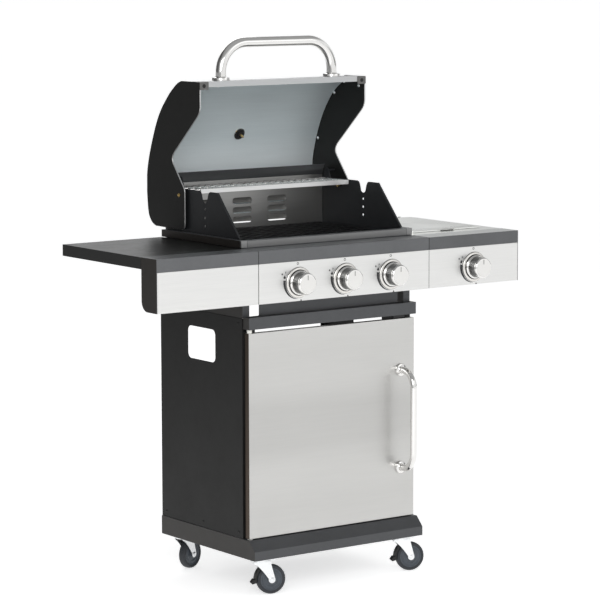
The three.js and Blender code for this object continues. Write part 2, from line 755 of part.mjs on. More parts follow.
function lid(group) {
  const shell = prismX(sheetOutline(LID_SHEET_LINE, -SHEET), -LID_PLATE_IN + 0.3, LID_PLATE_IN - 0.3);
  const stemHole = rod("z", 5, -12, 12, 0, 0, 12);
  stemHole.rotateX(THERMOMETER.lean).translate(0, THERMOMETER.y, THERMOMETER.z);
  part(group, "lid_shell", shaped([shell], [stemHole]), stainless);

  // Each plate has a stub axle for the hinge, a blind hole for the rack and a bracket over the lip's end.
  const plate = lidPlateOutline();
  const bracket = { width: 23, height: 20.5, front: LID_FRONT - GAP - SHEET, back: LID_FRONT - GAP };
  eachSide((word, side) => {
    const body = sidePrism(side, plate, LID_PLATE_IN, LID_PLATE_OUT, 2);
    const pin = sideRod(side, 3.6, SIDE_PLATE_OUT - 6, LID_PLATE_IN + 1, LID_HINGE, 12);
    const near = LID_PLATE_IN - bracket.width;
    const foot = LID_TOP - bracket.height;
    const cover = sideBox(side, near, LID_PLATE_OUT, bracket.front, bracket.back, foot, LID_TOP);
    const rackHole = sideRod(side, 3.5, LID_PLATE_IN - 1, LID_PLATE_IN + RACK_HOLE_DEPTH, RACK_PIVOT, 12);
    part(group, `lid_${word}_plate`, shaped([body, pin, cover], [rackHole]), blackPaint);
  });

  const legX = 176;
  const legY = -30;
  const barZ = 1385;
  const barRadius = 12.5;
  const bar = bentBar(
    [
      [-legX, legY, LID_TOP + 4],
      [-legX, legY, barZ],
      [legX, legY, barZ],
      [legX, legY, LID_TOP + 4],
    ],
    72,
    barRadius,
    12,
    4
  );
  const ferrules = [-legX, legX].map((x) => rod("z", 23, LID_TOP + 0.3, LID_TOP + 9, x, legY, 20));
  part(group, "lid_handle", shaped([bar, ...ferrules]), chrome);

  const gauge = part(
    group,
    "thermometer",
    turned(
      [
        [0, -22],
        [3, -22],
        [3, -9],
        [14, -9],
        [14, -2.6],
        [4, -2.6],
        [4, 2.2],
        [26, 2.2],
        [30, 6],
        [30, 11],
        [0, 12.5],
      ],
      20
    ),
    chrome
  );
  gauge.position.set(0, THERMOMETER.y, THERMOMETER.z);
  gauge.rotation.x = THERMOMETER.lean;
}

/** A wire rack carried by the lid plates on two pins. */
function warmingRack(group) {
  const halfX = 236;
  const front = -25;
  const rear = 96;
  const top = 1013;
  const wire = 2;
  const pieces = [
    box(-halfX, halfX, front, front + 2, top - 12, top),
    box(-halfX, halfX, rear - 5, rear, top - 7, top - 2),
  ];
  const count = 21;
  for (let i = 0; i < count; i += 1) {
    const x = -halfX + 2.5 + (i * (2 * halfX - 5)) / (count - 1);
    pieces.push(rod("y", wire, front + 1, rear - 1, x, top - 4, 6));
  }
  for (const side of [-1, 1]) {
    const arm = outline([
      [52, top - 8],
      [88, top - 8],
      [77, RACK_PIVOT.z + 6],
      [63, RACK_PIVOT.z + 6],
    ]);
    pieces.push(sidePrism(side, arm, halfX - 2, halfX));
    pieces.push(sideRod(side, 3, halfX - 1, LID_PLATE_IN + RACK_HOLE_DEPTH - 0.5, RACK_PIVOT, 10));
  }
  part(group, "warming_rack", shaped(pieces), chrome);
}

// ---------------------------------------------------------------- the door
function door(group) {
  const outer = box(-HALF_DOOR, HALF_DOOR, DOOR_FRONT, DOOR_BACK, DOOR_BOTTOM, DOOR_TOP);
  const wall = HALF_DOOR - SHEET;
  const inner = box(-wall, wall, DOOR_FRONT + SHEET, DOOR_BACK + 1, DOOR_BOTTOM + SHEET, DOOR_TOP - SHEET);
  const pins = [
    rod("z", DOOR_PIN.radius, DOOR_BOTTOM - 8, DOOR_BOTTOM + 1, DOOR_PIN.x, DOOR_PIN.y),
    rod("z", DOOR_PIN.radius, DOOR_TOP - 1, RAIL_BOTTOM + 8, DOOR_PIN.x, DOOR_PIN.y),
  ];
  part(group, "door", shaped([outer, ...pins], [inner]), stainless);

  const x = 217;
  const bottom = 278.5;
  const top = 535.5;
  const reach = DOOR_FRONT - 58;
  const bar = bentBar(
    [
      [x, DOOR_FRONT - 3, bottom],
      [x, reach, bottom],
      [x, reach, top],
      [x, DOOR_FRONT - 3, top],
    ],
    38,
    7.8,
    10,
    4
  );
  const ferrules = [bottom, top].map((z) => rod("y", 14.5, DOOR_FRONT - 7, DOOR_FRONT - 0.3, x, z, 16));
  part(group, "door_handle", shaped([bar, ...ferrules]), chrome);
}

// ---------------------------------------------------------------- casters
function casters(group) {
  for (const { name, x, y, turn, brake } of CASTERS) {
    const place = section(group);
    place.position.set(x, y, 0);
    const plateTop = BASE_BOTTOM - GAP;
    const plate = box(-30, 30, -30, 30, plateTop - 3, plateTop);
    const race = rod("z", 18, 88.6, plateTop - 2, 0, 0, 16);
    part(place, `caster_plate_${name}`, shaped([plate, race]), zinc);

    const swivel = section(place);
    swivel.rotation.z = THREE.MathUtils.degToRad(turn);
    part(swivel, `caster_fork_${name}`, casterFork(), zinc);
    part(swivel, `caster_wheel_${name}`, casterWheel(), tyreRubber);
    if (brake) part(swivel, `brake_lever_${name}`, brakeLever(), blackPlastic);
  }
}

/** The fork hangs its wheel behind the swivel axis, along the swivel's own +X. */
function casterFork() {
  const axleZ = CASTER.wheelRadius;
  const crownTop = 88.2;
  const crown = box(-22, 22, -14.5, 14.5, crownTop - 3, crownTop);
  const leg = new THREE.Shape();
  leg.moveTo(-22, crownTop);
  leg.lineTo(-18, crownTop - 12);
  leg.lineTo(CASTER.trail - 8, axleZ - 3);
  leg.absarc(CASTER.trail, axleZ, 8.5, Math.PI + 0.35, 2 * Math.PI, false);
  leg.lineTo(22, crownTop - 14);
  leg.lineTo(22, crownTop);
  const legs = [prismY(leg, -14.5, -12, 4), prismY(leg, 12, 14.5, 4)];
  const axle = rod("y", 4, -15.5, 15.5, CASTER.trail, axleZ, 10);
  const nuts = [rod("y", 6.5, -18, -14, CASTER.trail, axleZ, 6), rod("y", 6.5, 14, 18, CASTER.trail, axleZ, 6)];
  return shaped([crown, ...legs, axle, ...nuts]);
}

function casterWheel() {
  const half = CASTER.wheelHalf;
  const radius = CASTER.wheelRadius;
  const profile = [
    [4.5, -half],
    [12, -half],
    [24, -half + 2],
    [radius - 4, -half],
    [radius, -half + 5],
    [radius, half - 5],
    [radius - 4, half],
    [24, half - 2],
    [12, half],
    [4.5, half],
    [4.5, -half],
  ];
  return turned(profile, 20).rotateX(Math.PI / 2).translate(CASTER.trail, 0, CASTER.wheelRadius);
}

/** A curved lever around the wheel's leading side, with a toe at its lower end. */
function brakeLever() {
  const inner = CASTER.wheelRadius + 0.8;
  const outer = inner + 4.5;
  const from = THREE.MathUtils.degToRad(122);
  const to = THREE.MathUtils.degToRad(190);
  const arm = new THREE.Shape();
  arm.absarc(CASTER.trail, CASTER.wheelRadius, outer, from, to, false);
  arm.absarc(CASTER.trail, CASTER.wheelRadius, inner, to, from, true);
  const toe = outline([
    [-24, 28],
    [-16.2, 30],
    [-15.5, 38],
    [-20, 41],
    [-27, 32],
  ]);
  return shaped([prismY(arm, -9, 9, 7), prismY(toe, -9, 9)]);
}

// ---------------------------------------------------------------- assembly
const grill = new THREE.Group();
const frontMost = FRONT - KNOB_HEIGHT;
grill.position.y = -(frontMost + LID_REAR) / 2;

cart(section(grill));
firebox(section(grill));
frontAndShelves(section(grill));
sideBurnerLid(section(grill));
knobs(section(grill));
lid(section(grill));
warmingRack(section(grill));
door(section(grill));
casters(section(grill));

export default grill;
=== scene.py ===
"""Gas barbecue grill: the visual model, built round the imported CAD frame.

Lengths are millimetres in the row frame (+X right, -Y to the user, +Z up, floor at 0).
They become metres when a piece is made.
"""

import math

import bmesh
import bpy
from mathutils import Matrix, Vector


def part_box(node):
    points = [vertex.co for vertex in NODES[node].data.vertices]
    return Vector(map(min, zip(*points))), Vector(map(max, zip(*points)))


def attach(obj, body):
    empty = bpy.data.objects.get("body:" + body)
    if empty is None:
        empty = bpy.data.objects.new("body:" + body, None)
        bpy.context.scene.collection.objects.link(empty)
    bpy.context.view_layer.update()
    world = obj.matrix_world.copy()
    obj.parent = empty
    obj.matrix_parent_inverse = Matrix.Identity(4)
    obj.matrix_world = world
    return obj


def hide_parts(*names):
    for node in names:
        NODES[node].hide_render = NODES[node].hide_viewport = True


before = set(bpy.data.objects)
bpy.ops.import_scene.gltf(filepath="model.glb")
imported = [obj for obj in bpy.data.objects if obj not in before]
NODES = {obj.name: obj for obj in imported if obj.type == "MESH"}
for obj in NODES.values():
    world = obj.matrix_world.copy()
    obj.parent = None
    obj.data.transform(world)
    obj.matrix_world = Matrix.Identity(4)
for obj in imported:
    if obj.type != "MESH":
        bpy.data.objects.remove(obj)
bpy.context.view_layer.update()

MM = 0.001
SHEET = 1.2
SIDES = (("left", -1), ("right", 1))


def node_box(node):
    """(lowest corner, highest corner) of a CAD node in millimetres."""
    low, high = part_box(node)
    return low / MM, high / MM


# -------- camera, floor and light
CAMERA_AT = (-4.2085, -5.8401, 1.6445)
CAMERA_YAW = math.radians(35.962)
CAMERA_PITCH = math.radians(7.350)
CAMERA_ROLL = math.radians(-0.121)
CAMERA_LENS = 167.53
DARK_SIDE = (-0.75, 0.66, 0)  # the unlit end of the studio
DARK_CARD = (0.94, -0.34, 0)  # a narrow dark card out to the right


def make_camera():
    forward = Vector((
        math.sin(CAMERA_YAW) * math.cos(CAMERA_PITCH),
        math.cos(CAMERA_YAW) * math.cos(CAMERA_PITCH),
        -math.sin(CAMERA_PITCH),
    ))
    level = Vector((math.cos(CAMERA_YAW), -math.sin(CAMERA_YAW), 0))
    up = level.cross(forward)
    right = math.cos(CAMERA_ROLL) * level + math.sin(CAMERA_ROLL) * up
    top = -math.sin(CAMERA_ROLL) * level + math.cos(CAMERA_ROLL) * up
    data = bpy.data.cameras.new("camera")
    data.sensor_width = 36
    data.lens = CAMERA_LENS
    data.clip_end = 500
    camera = bpy.data.objects.new("camera", data)
    turn = Matrix((right, top, -forward)).transposed()
    camera.matrix_world = Matrix.Translation(CAMERA_AT) @ turn.to_4x4()
    bpy.context.scene.collection.objects.link(camera)
    bpy.context.scene.camera = camera


def area_light(name, at, target, size, watts, color=(1, 1, 1)):
    data = bpy.data.lights.new(name, "AREA")
    data.shape = "RECTANGLE"
    data.size, data.size_y = size
    data.energy = watts
    data.color = color
    light = bpy.data.objects.new(name, data)
    light.location = at
    light.rotation_euler = (Vector(target) - Vector(at)).to_track_quat("-Z", "Y").to_euler()
    bpy.context.scene.collection.objects.link(light)


class Network:
    """A node tree with helpers that return sockets to wire together."""

    def __init__(self, tree):
        self.tree = tree

    def node(self, kind, **settings):
        made = self.tree.nodes.new(kind)
        for key, value in settings.items():
            setattr(made, key, value)
        return made

    def link(self, source, target):
        self.tree.links.new(source, target)

    def math(self, operation, a, b=None):
        made = self.node("ShaderNodeMath", operation=operation)
        for socket, value in zip(made.inputs, (a, b)):
            if isinstance(value, (int, float)):
                socket.default_value = value
            elif value is not None:
                self.link(value, socket)
        return made.outputs[0]

    def spread(self, value, low, high, start=0.25, stop=0.75, kind="LINEAR"):
        """Goes from low to high as value goes from start to stop."""
        made = self.node("ShaderNodeMapRange", interpolation_type=kind)
        for socket, number in (("From Min", start), ("From Max", stop), ("To Min", low), ("To Max", high)):
            made.inputs[socket].default_value = number
        self.link(value, made.inputs["Value"])
        return made.outputs[0]

    def along(self, source, direction):
        """How far source reaches along a direction."""
        dot = self.node("ShaderNodeVectorMath", operation="DOT_PRODUCT")
        dot.inputs[1].default_value = direction
        self.link(source, dot.inputs[0])
        return dot.outputs["Value"]


def make_world():
    """A bright surround at the user's side that is dimmer overhead and dark behind the left side."""
    world = bpy.data.worlds.new("studio")
    bpy.context.scene.world = world
    world.use_nodes = True
    net = Network(world.node_tree)
    background = world.node_tree.nodes["Background"]
    direction = net.node("ShaderNodeTexCoord").outputs["Generated"]
    ramp = net.node("ShaderNodeValToRGB")
    stops = ((0.0, 0.9), (0.12, 0.95), (0.4, 1.0), (0.62, 0.4), (1.0, 0.45))
    while len(ramp.color_ramp.elements) < len(stops):
        ramp.color_ramp.elements.new(0.5)
    for element, (place, value) in zip(ramp.color_ramp.elements, stops):
        element.position = place
        element.color = (value * 0.985, value * 0.995, value, 1)
    net.link(net.along(direction, (0, 0, 1)), ramp.inputs["Fac"])
    net.link(ramp.outputs["Color"], background.inputs["Color"])
    strength = 1.0
    for way, low, high, start, stop in (
        ((0.35, -0.94, 0), 0.62, 1.0, -0.9, 0.5),
        (DARK_SIDE, 1.0, 0.2, 0.3, 0.9),
        (DARK_CARD, 1.0, 0.25, 0.94, 0.985),
    ):
        step = net.spread(net.along(direction, way), low, high, start, stop, "SMOOTHSTEP")
        strength = net.math("MULTIPLY", strength, step)
    net.link(strength, background.inputs["Strength"])


def make_floor():
    """A white sweep, lit through from below except far out on the dark side."""
    surface = Shade("floor", (0.9, 0.9, 0.9), roughness=0.9, specular=0.1)
    surface.paint(surface.tinted(surface.noise(0.8, 2), 0.01))
    sideways = surface.along(surface.position, (-0.809, 0.587, 0))
    deep = surface.along(surface.position, (0.587 * 0.13, 0.809 * 0.13, 0))
    glow = surface.spread(surface.math("SUBTRACT", sideways, deep), 0.62, 0.0, 0.9, 3.6, "SMOOTHSTEP")
    surface.shader.inputs["Emission Color"].default_value = (1, 1, 1, 1)
    surface.link(glow, surface.shader.inputs["Emission Strength"])
    bm = bmesh.new()
    bmesh.ops.create_circle(bm, cap_ends=True, radius=120 / MM, segments=64)
    floor = bpy.data.objects.new("floor", mesh_of("floor", bm, "floor"))
    bpy.context.scene.collection.objects.link(floor)


def make_studio():
    make_world()
    make_floor()
    area_light("key_box", (-2.6, -3.4, 2.4), (0, 0, 0.85), (2.2, 2.0), 60)
    area_light("front_box", (2.4, -4.4, 2.6), (0, -0.1, 0.9), (2.4, 2.0), 7)
    area_light("back_box", (0.9, 3.6, 3.2), (0, 0, 0.8), (3.2, 1.6), 30)


# -------- materials
class Shade(Network):
    """One procedural material."""

    def __init__(self, name, color, metallic=0.0, roughness=0.5, specular=0.5):
        self.material = bpy.data.materials.new(name)
        self.material.use_nodes = True
        super().__init__(self.material.node_tree)
        self.shader = self.tree.nodes["Principled BSDF"]
        self.color = color
        for socket, value in (("Base Color", (*color, 1)), ("Metallic", metallic), ("Roughness", roughness),
                              ("Specular IOR Level", specular)):
            self.shader.inputs[socket].default_value = value
        self.position = self.tree.nodes.new("ShaderNodeTexCoord").outputs["Object"]
        self.material.diffuse_color = (*color, 1)
        MATERIALS[name] = self.material

    def blend(self, a, b, share):
        """The share of b mixed into a."""
        return self.math("ADD", self.math("MULTIPLY", a, 1 - share), self.math("MULTIPLY", b, share))

    def axis(self, name, source=None):
        split = self.node("ShaderNodeSeparateXYZ")
        self.link(source or self.position, split.inputs[0])
        return split.outputs[name]

    def noise(self, scale, detail=2.0, rough=0.5, stretch=(1, 1, 1), source=None):
        """Noise whose cells are 1/scale metres across, longer along any axis whose stretch is below 1."""
        mapping = self.node("ShaderNodeMapping")
        mapping.inputs["Scale"].default_value = stretch
        self.link(source or self.position, mapping.inputs["Vector"])
        texture = self.node("ShaderNodeTexNoise")
        texture.inputs["Scale"].default_value = scale
        texture.inputs["Detail"].default_value = detail
        texture.inputs["Roughness"].default_value = rough
        self.link(mapping.outputs[0], texture.inputs["Vector"])
        return texture.outputs["Fac"]

    def mix(self, factor, a, b):
        made = self.node("ShaderNodeMix", data_type="RGBA")
        for socket, value in ((made.inputs[0], factor), (made.inputs[6], a), (made.inputs[7], b)):
            if isinstance(value, (int, float)):
                socket.default_value = value
            elif isinstance(value, tuple):
                socket.default_value = (*value, 1)
            else:
                self.link(value, socket)
        return made.outputs[2]

    def tinted(self, factor, amount=0.1, base=None):
        """The base colour made darker and lighter by that share as factor goes from 0 to 1."""
        base = base or self.color
        dark = tuple(v * (1 - amount) for v in base)
        light = tuple(min(1.0, v * (1 + amount)) for v in base)
        return self.mix(self.spread(factor, 0, 1), dark, light)

    def paint(self, color, roughness=None):
        self.link(color, self.shader.inputs["Base Color"])
        if roughness is not None:
            self.link(roughness, self.shader.inputs["Roughness"])

    def painted(self):
        return self.shader.inputs["Base Color"].links[0].from_socket

    def paint_light_by_facing(self, axis, color):
        """Another colour painted on the faces that look along an axis, where light falls on them differently:
        painted shade on side faces and a painted reflection on top faces.
        """
        normal = self.node("ShaderNodeTexCoord").outputs["Normal"]
        along_axis = self.spread(self.math("ABSOLUTE", self.axis(axis, normal)), 0, 1, 0.6, 0.8)
        self.paint(self.mix(along_axis, self.painted(), color))

    def bump(self, height, depth_mm, strength=1.0):
        """Adds relief; a later call lies on top of the earlier ones."""
        made = self.node("ShaderNodeBump")
        made.inputs["Strength"].default_value = strength
        made.inputs["Distance"].default_value = depth_mm * MM
        self.link(height, made.inputs["Height"])
        normal = self.shader.inputs["Normal"]
        if normal.is_linked:
            self.link(normal.links[0].from_socket, made.inputs["Normal"])
        self.link(made.outputs[0], normal)


MATERIALS = {}


def coated(name, color, roughness, specular, grain=1400, metallic=0.0):
    """Powder coat or satin paint: fine orange peel, uneven sheen and faint dust."""
    s = Shade(name, color, metallic, roughness, specular)
    broad = s.noise(9, 3)
    peel = s.noise(grain, 2)
    rub = s.noise(55, 4, rough=0.7)
    s.paint(
        s.tinted(s.blend(broad, rub, 0.4), 0.12),
        s.spread(s.blend(broad, rub, 0.5), roughness - 0.07, roughness + 0.07),
    )
    s.bump(peel, 0.05, 0.35)
    return s


def brushed(name, color, roughness, along="x", streak=0.06, metallic=1.0, bands=0.0):
    """Brushed metal: long fine lines along one axis, over broader bands and faint smudges.

    bands is how much darker the sheet gets in its slow waves from top to bottom.
    """
    s = Shade(name, color, metallic=metallic, roughness=roughness)
    long, band = ([share if axis == along else 1 for axis in "xyz"] for share in (0.012, 0.05))
    fine = s.noise(900, 3, 0.65, long)
    wide = s.noise(150, 3, 0.6, band)
    smudge = s.noise(7, 3)
    lines = s.blend(fine, wide, 0.45)
    s.paint(
        s.tinted(lines, streak),
        s.spread(s.blend(lines, smudge, 0.4), roughness - 0.08, roughness + 0.08),
    )
    if bands:
        wave = s.spread(s.noise(3.4, 1, stretch=(0.12, 0.12, 1)), 1, 0, 0.38, 0.62)
        darker = s.tinted(lines, streak, tuple(v * (1 - bands) for v in color))
        s.paint(s.mix(wave, s.painted(), darker))
    s.bump(fine, 0.02, 0.35)
    s.shader.inputs["Anisotropic"].default_value = 0.4
    return s


def polished(name, color, roughness=0.06):
    """Polished plating with a faint haze, small waves left by the polishing wheel and finger marks."""
    s = Shade(name, color, metallic=1.0, roughness=roughness)
    haze = s.noise(28, 4, rough=0.6)
    marks = s.noise(240, 3)
    s.paint(s.tinted(haze, 0.03), s.spread(haze, roughness, roughness + 0.09))
    s.bump(s.noise(45, 2), 0.06, 0.25)
    s.bump(marks, 0.01, 0.2)
    return s


def mottled(name, color, tint, amount, sheen=None, shine=None, relief=None, depth=None, **shading):
    """Plastic, rubber, print or iron: noise tints the colour and may vary the sheen and the height."""
    s = Shade(name, color, **shading)
    s.paint(s.tinted(s.noise(*tint), amount), s.spread(s.noise(*sheen), *shine) if sheen else None)
    if relief:
        s.bump(s.noise(*relief), *depth)


def knob_face():
    """Circular brushing on the knob's face."""
    s = Shade("knob_face", (0.80, 0.79, 0.77), metallic=1.0, roughness=0.3)
    x, y = s.axis("X"), s.axis("Y")
    radius = s.math("SQRT", s.math("ADD", s.math("MULTIPLY", x, x), s.math("MULTIPLY", y, y)))
    ring = s.node("ShaderNodeCombineXYZ")
    s.link(radius, ring.inputs["X"])
    lines = s.noise(1800, 3, 0.7, source=ring.outputs[0])
    s.paint(s.tinted(lines, 0.06), s.spread(lines, 0.24, 0.38))
    s.bump(lines, 0.02, 0.5)


def make_materials():
    coated("black_powder_coat", (0.0068, 0.0067, 0.0064), roughness=0.48, specular=0.26)
    coated("shelf_top", (0.010, 0.010, 0.0095), roughness=0.36, specular=0.3)
    fascia = coated("grey_satin_paint", (0.13, 0.133, 0.138), 0.4, 0.4, grain=1100, metallic=0.55)
    # Side faces darker: painted shade on the sides of the rim and fascia, and on the left fascia also the end
    # cap's own dark colour.
    fascia.paint_light_by_facing("X", (0.034, 0.030, 0.027))
    # A copy of the grey paint for the right-hand fascia, a little darker overall, with painted shade on its
    # side faces and a painted reflection of the bright surround on its top.
    capped = coated("grey_paint_painted_light", (0.115, 0.118, 0.122), 0.4, 0.4, grain=1100, metallic=0.55)
    capped.paint_light_by_facing("X", (0.016, 0.014, 0.0125))
    capped.paint_light_by_facing("Z", (0.62, 0.63, 0.62))
    cabinet = coated("cabinet_grey", (0.078, 0.080, 0.084), 0.42, 0.35, grain=1000, metallic=0.5)
    # Painted shade: the side faces are darker than the rest.
    cabinet.paint_light_by_facing("X", (0.042, 0.040, 0.038))
    coated("inner_black", (0.012, 0.013, 0.015), roughness=0.42, specular=0.4)

    brushed("brushed_stainless", (0.765, 0.762, 0.75), 0.34, streak=0.045)
    door = brushed("door_skin", (0.60, 0.595, 0.58), 0.32, streak=0.04, bands=0.16)
    # Painted shade: the door's side flanges are a dark brown, standing in for the dark surroundings reflected
    # there.
    door.paint_light_by_facing("X", (0.075, 0.058, 0.046))
    # The lid's inner face has its own copy of the stainless, tinted blue-grey and lighter towards its lower
    # edge: a painted reflection of the room and of the bright grill below.
    lid = brushed("lid_skin", (0.72, 0.80, 0.825), 0.42, streak=0.05, metallic=0.4, bands=0.12)
    painted_reflection_low = lid.spread(lid.axis("Z"), 1, 0, 1.0, 1.13)
    lid.paint(lid.mix(painted_reflection_low, lid.painted(), (0.93, 0.97, 0.98)))
    brushed("lip_trim", (0.50, 0.505, 0.51), 0.38, streak=0.03)
    # Painted highlight for the lid plates' edges, where light catches them.
    brushed("lid_edge_painted_highlight", (0.50, 0.50, 0.50), 0.4, streak=0.05, metallic=0.7)
    brushed("burner_cover", (0.86, 0.865, 0.84), 0.3, streak=0.04)
    # A darker, duller copy of the galvanised steel for the louvre hoods: painted shade inside the hoods.
    brushed("louvre_painted_shade", (0.20, 0.198, 0.19), 0.5, streak=0.06, metallic=0.3)
    brushed("rack_strip", (0.72, 0.72, 0.715), 0.36, streak=0.04)
    brushed("rim_cap", (0.33, 0.33, 0.33), 0.4, streak=0.05)
    brushed("bracket_grey", (0.15, 0.148, 0.145), 0.42, streak=0.06)
    brushed("rim_strip", (0.26, 0.26, 0.26), 0.36, streak=0.06)

    # A darker, less metallic copy of the galvanised steel for the rear wall's bent top band: painted shade
    # under the lid.
    brushed("galvanised_painted_shade", (0.16, 0.165, 0.17), 0.5, streak=0.05, metallic=0.8)
    # A dark brushed copy of the chrome for the knob cap's side: a painted reflection of the dark surround.
    brushed("knob_side_painted_reflection", (0.17, 0.17, 0.168), 0.3, along="z", streak=0.25)
    zinc = brushed("galvanised_steel", (0.40, 0.398, 0.39), 0.34, streak=0.06)
    spangle = zinc.node("ShaderNodeTexVoronoi")
    spangle.inputs["Scale"].default_value = 160
    zinc.link(zinc.position, spangle.inputs["Vector"])
    zinc.bump(spangle.outputs["Distance"], 0.02, 0.2)

    polished("polished_chrome", (0.78, 0.77, 0.755), 0.05)
    polished("knob_bezel", (0.72, 0.70, 0.67), 0.24)
    polished("knob_groove", (0.36, 0.36, 0.35), 0.3)
    bright = polished("bright_zinc", (0.86, 0.87, 0.88), 0.24)
    bright.bump(bright.noise(900, 2), 0.02, 0.3)
    gold = polished("brass", (0.60, 0.44, 0.19), 0.25)
    gold.bump(gold.noise(500, 2), 0.03, 0.3)

    mottled("cast_iron", (0.010, 0.010, 0.011), (40, 3), 0.4, (700, 4, 0.7), (0.42, 0.68), (700, 4, 0.7),
            (0.25, 0.5), metallic=0.2, roughness=0.55)
    mottled("caster_tyre", (0.030, 0.033, 0.038), (120, 4, 0.7), 0.25, (120, 4, 0.7), (0.45, 0.72), (900, 3),
            (0.08, 0.4), roughness=0.6, specular=0.35)
    mottled("caster_hub", (0.058, 0.068, 0.082), (80, 3), 0.18, (80, 3), (0.38, 0.55), (1300, 2), (0.03, 0.3),
            roughness=0.45)
    mottled("black_plastic", (0.008, 0.008, 0.008), (60, 3), 0.25, (1500, 2), (0.42, 0.6), (1500, 2),
            (0.05, 0.4), specular=0.4)
    mottled("white_nylon", (0.75, 0.74, 0.70), (150, 3), 0.08, (300, 2), (0.4, 0.55), (1200, 2), (0.03, 0.3),
            roughness=0.45, specular=0.4)
    mottled("dial_card", (0.70, 0.70, 0.68), (400, 3), 0.04, (60, 2), (0.48, 0.6), roughness=0.55)
    mottled("printed_mark", (0.02, 0.02, 0.022), (900, 2), 0.3)
    mottled("needle_red", (0.45, 0.03, 0.02), (500, 2), 0.12, roughness=0.4)
    knob_face()


# -------- mesh helpers
def axis_point(axis, a, b, w):
    """The point at (a, b) in the plane across an axis, w along it. Planes are (y, z), (x, z) and (x, y)."""
    if axis == "x":
        return Vector((w, a, b))
    if axis == "y":
        return Vector((a, w, b))
    return Vector((a, b, w))


def skin(bm, rings, ends="capped"):
    """Faces between rings of points; a ring may be one point. Its ends are capped, joined or left open."""
    rings = [[bm.verts.new(point) for point in ring] for ring in rings]
    faces = [bm.faces.new(ring) for ring in (rings[0], rings[-1])] if ends == "capped" else []
    for low, high in zip(rings, rings[1:] + (rings[:1] if ends == "joined" else [])):
        count = max(len(low), len(high))
        for k in range(count):
            j = (k + 1) % count
            corners = [low[k % len(low)], low[j % len(low)], high[j % len(high)], high[k % len(high)]]
            corners = list(dict.fromkeys(corners))
            if len(corners) > 2:
                faces.append(bm.faces.new(corners))
    bmesh.ops.recalc_face_normals(bm, faces=faces)
    return [vert for ring in rings for vert in ring]


def add_prism(bm, outline, axis, w0, w1):
    """Extrudes a 2-D outline along an axis from w0 to w1."""
    return skin(bm, [[axis_point(axis, a, b, w) for a, b in outline] for w in (w0, w1)])


def add_box(bm, x0, x1, y0, y1, z0, z1):
    return add_prism(bm, [(x0, y0), (x1, y0), (x1, y1), (x0, y1)], "z", z0, z1)


def add_sheet(bm, line, thickness, axis, w0, w1):
    """A sheet that follows a line of 2-D points, its thickness laid to the line's left (negative: right)."""
    points = [Vector(p) for p in line]
    normals = []
    for i in range(len(points)):
        sides = []
        for a, b in ((i - 1, i), (i, i + 1)):
            if 0 <= a and b < len(points):
                run = (points[b] - points[a]).normalized()
                sides.append(Vector((-run.y, run.x)))
        normal = sum(sides, Vector((0, 0))).normalized()
        normals.append(normal / max(0.3, normal.dot(sides[0])))
    back = [p + n * thickness for p, n in zip(points, normals)]
    return add_prism(bm, [tuple(p) for p in points] + [tuple(p) for p in reversed(back)], axis, w0, w1)


def add_lathe(bm, profile, segments, matrix=None):
    """A solid of revolution about local Z; its (radius, height) points end on the axis or make a loop."""
    matrix = matrix or Matrix.Identity(4)
    turns = [2 * math.pi * k / segments for k in range(segments)]
    rings = []
    for radius, height in profile:
        around = turns if radius > 1e-6 else [0]
        rings.append([matrix @ Vector((radius * math.cos(t), radius * math.sin(t), height)) for t in around])
    skin(bm, rings, "joined" if len(rings[0]) > 1 else "open")


def add_sweep(bm, path, radius, sides=16):
    """A round bar along a path of points."""
    points = [Vector(p) for p in path]
    tangents = []
    for i in range(len(points)):
        a, b = points[max(i - 1, 0)], points[min(i + 1, len(points) - 1)]
        tangents.append((b - a).normalized())
    side = tangents[0].orthogonal().normalized()
    rings = []
    for point, tangent in zip(points, tangents):
        side = (side - tangent * side.dot(tangent)).normalized()
        other = tangent.cross(side)
        turns = [2 * math.pi * k / sides for k in range(sides)]
        rings.append([point + side * radius * math.cos(t) + other * radius * math.sin(t) for t in turns])
    skin(bm, rings)


def rounded_path(corners, radius, steps=10):
    """Straight runs joined by circular bends of one radius."""
    points = [Vector(c) for c in corners]
    path = [points[0]]
    for before, corner, after in zip(points, points[1:], points[2:]):
        back = (before - corner).normalized()
        ahead = (after - corner).normalized()
        half = back.angle(ahead) / 2
        reach = radius / math.tan(half)
        centre = corner + (back + ahead).normalized() * (radius / math.sin(half))
        start = corner + back * reach - centre
        stop = corner + ahead * reach - centre
        for k in range(steps + 1):
            path.append(centre + start.slerp(stop, k / steps).normalized() * radius)
    path.append(points[-1])
    return path


def smooth_line(points, steps=8):
    """A Catmull-Rom curve through 2-D points."""
    line = []
    for i in range(len(points) - 1):
        a, b, c, d = (Vector(points[min(max(k, 0), len(points) - 1)]) for k in (i - 1, i, i + 1, i + 2))
        for k in range(steps):
            t = k / steps
            line.append(tuple(0.5 * (2 * b + (c - a) * t + (2 * a - 5 * b + 4 * c - d) * t ** 2
                                     + (3 * b - a - 3 * c + d) * t ** 3)))
    line.append(tuple(points[-1]))
    return line


def bezier2(a, b, c, steps=10):
    """Points of a quadratic curve from a to c, without a itself."""
    line = []
    for k in range(1, steps + 1):
        t = k / steps
        line.append(tuple(Vector(a) * (1 - t) ** 2 + Vector(b) * 2 * t * (1 - t) + Vector(c) * t ** 2))
    return line


def arc(cx, cy, radius, start, stop, steps=10):
    """Points on a circular arc; angles in degrees."""
    turns = [math.radians(start + (stop - start) * k / steps) for k in range(steps + 1)]
    return [(cx + radius * math.cos(t), cy + radius * math.sin(t)) for t in turns]


def rounded_rectangle(a0, a1, b0, b1, radius, steps=6):
    return (
        arc(a1 - radius, b0 + radius, radius, -90, 0, steps)
        + arc(a1 - radius, b1 - radius, radius, 0, 90, steps)
        + arc(a0 + radius, b1 - radius, radius, 90, 180, steps)
        + arc(a0 + radius, b0 + radius, radius, 180, 270, steps)
    )


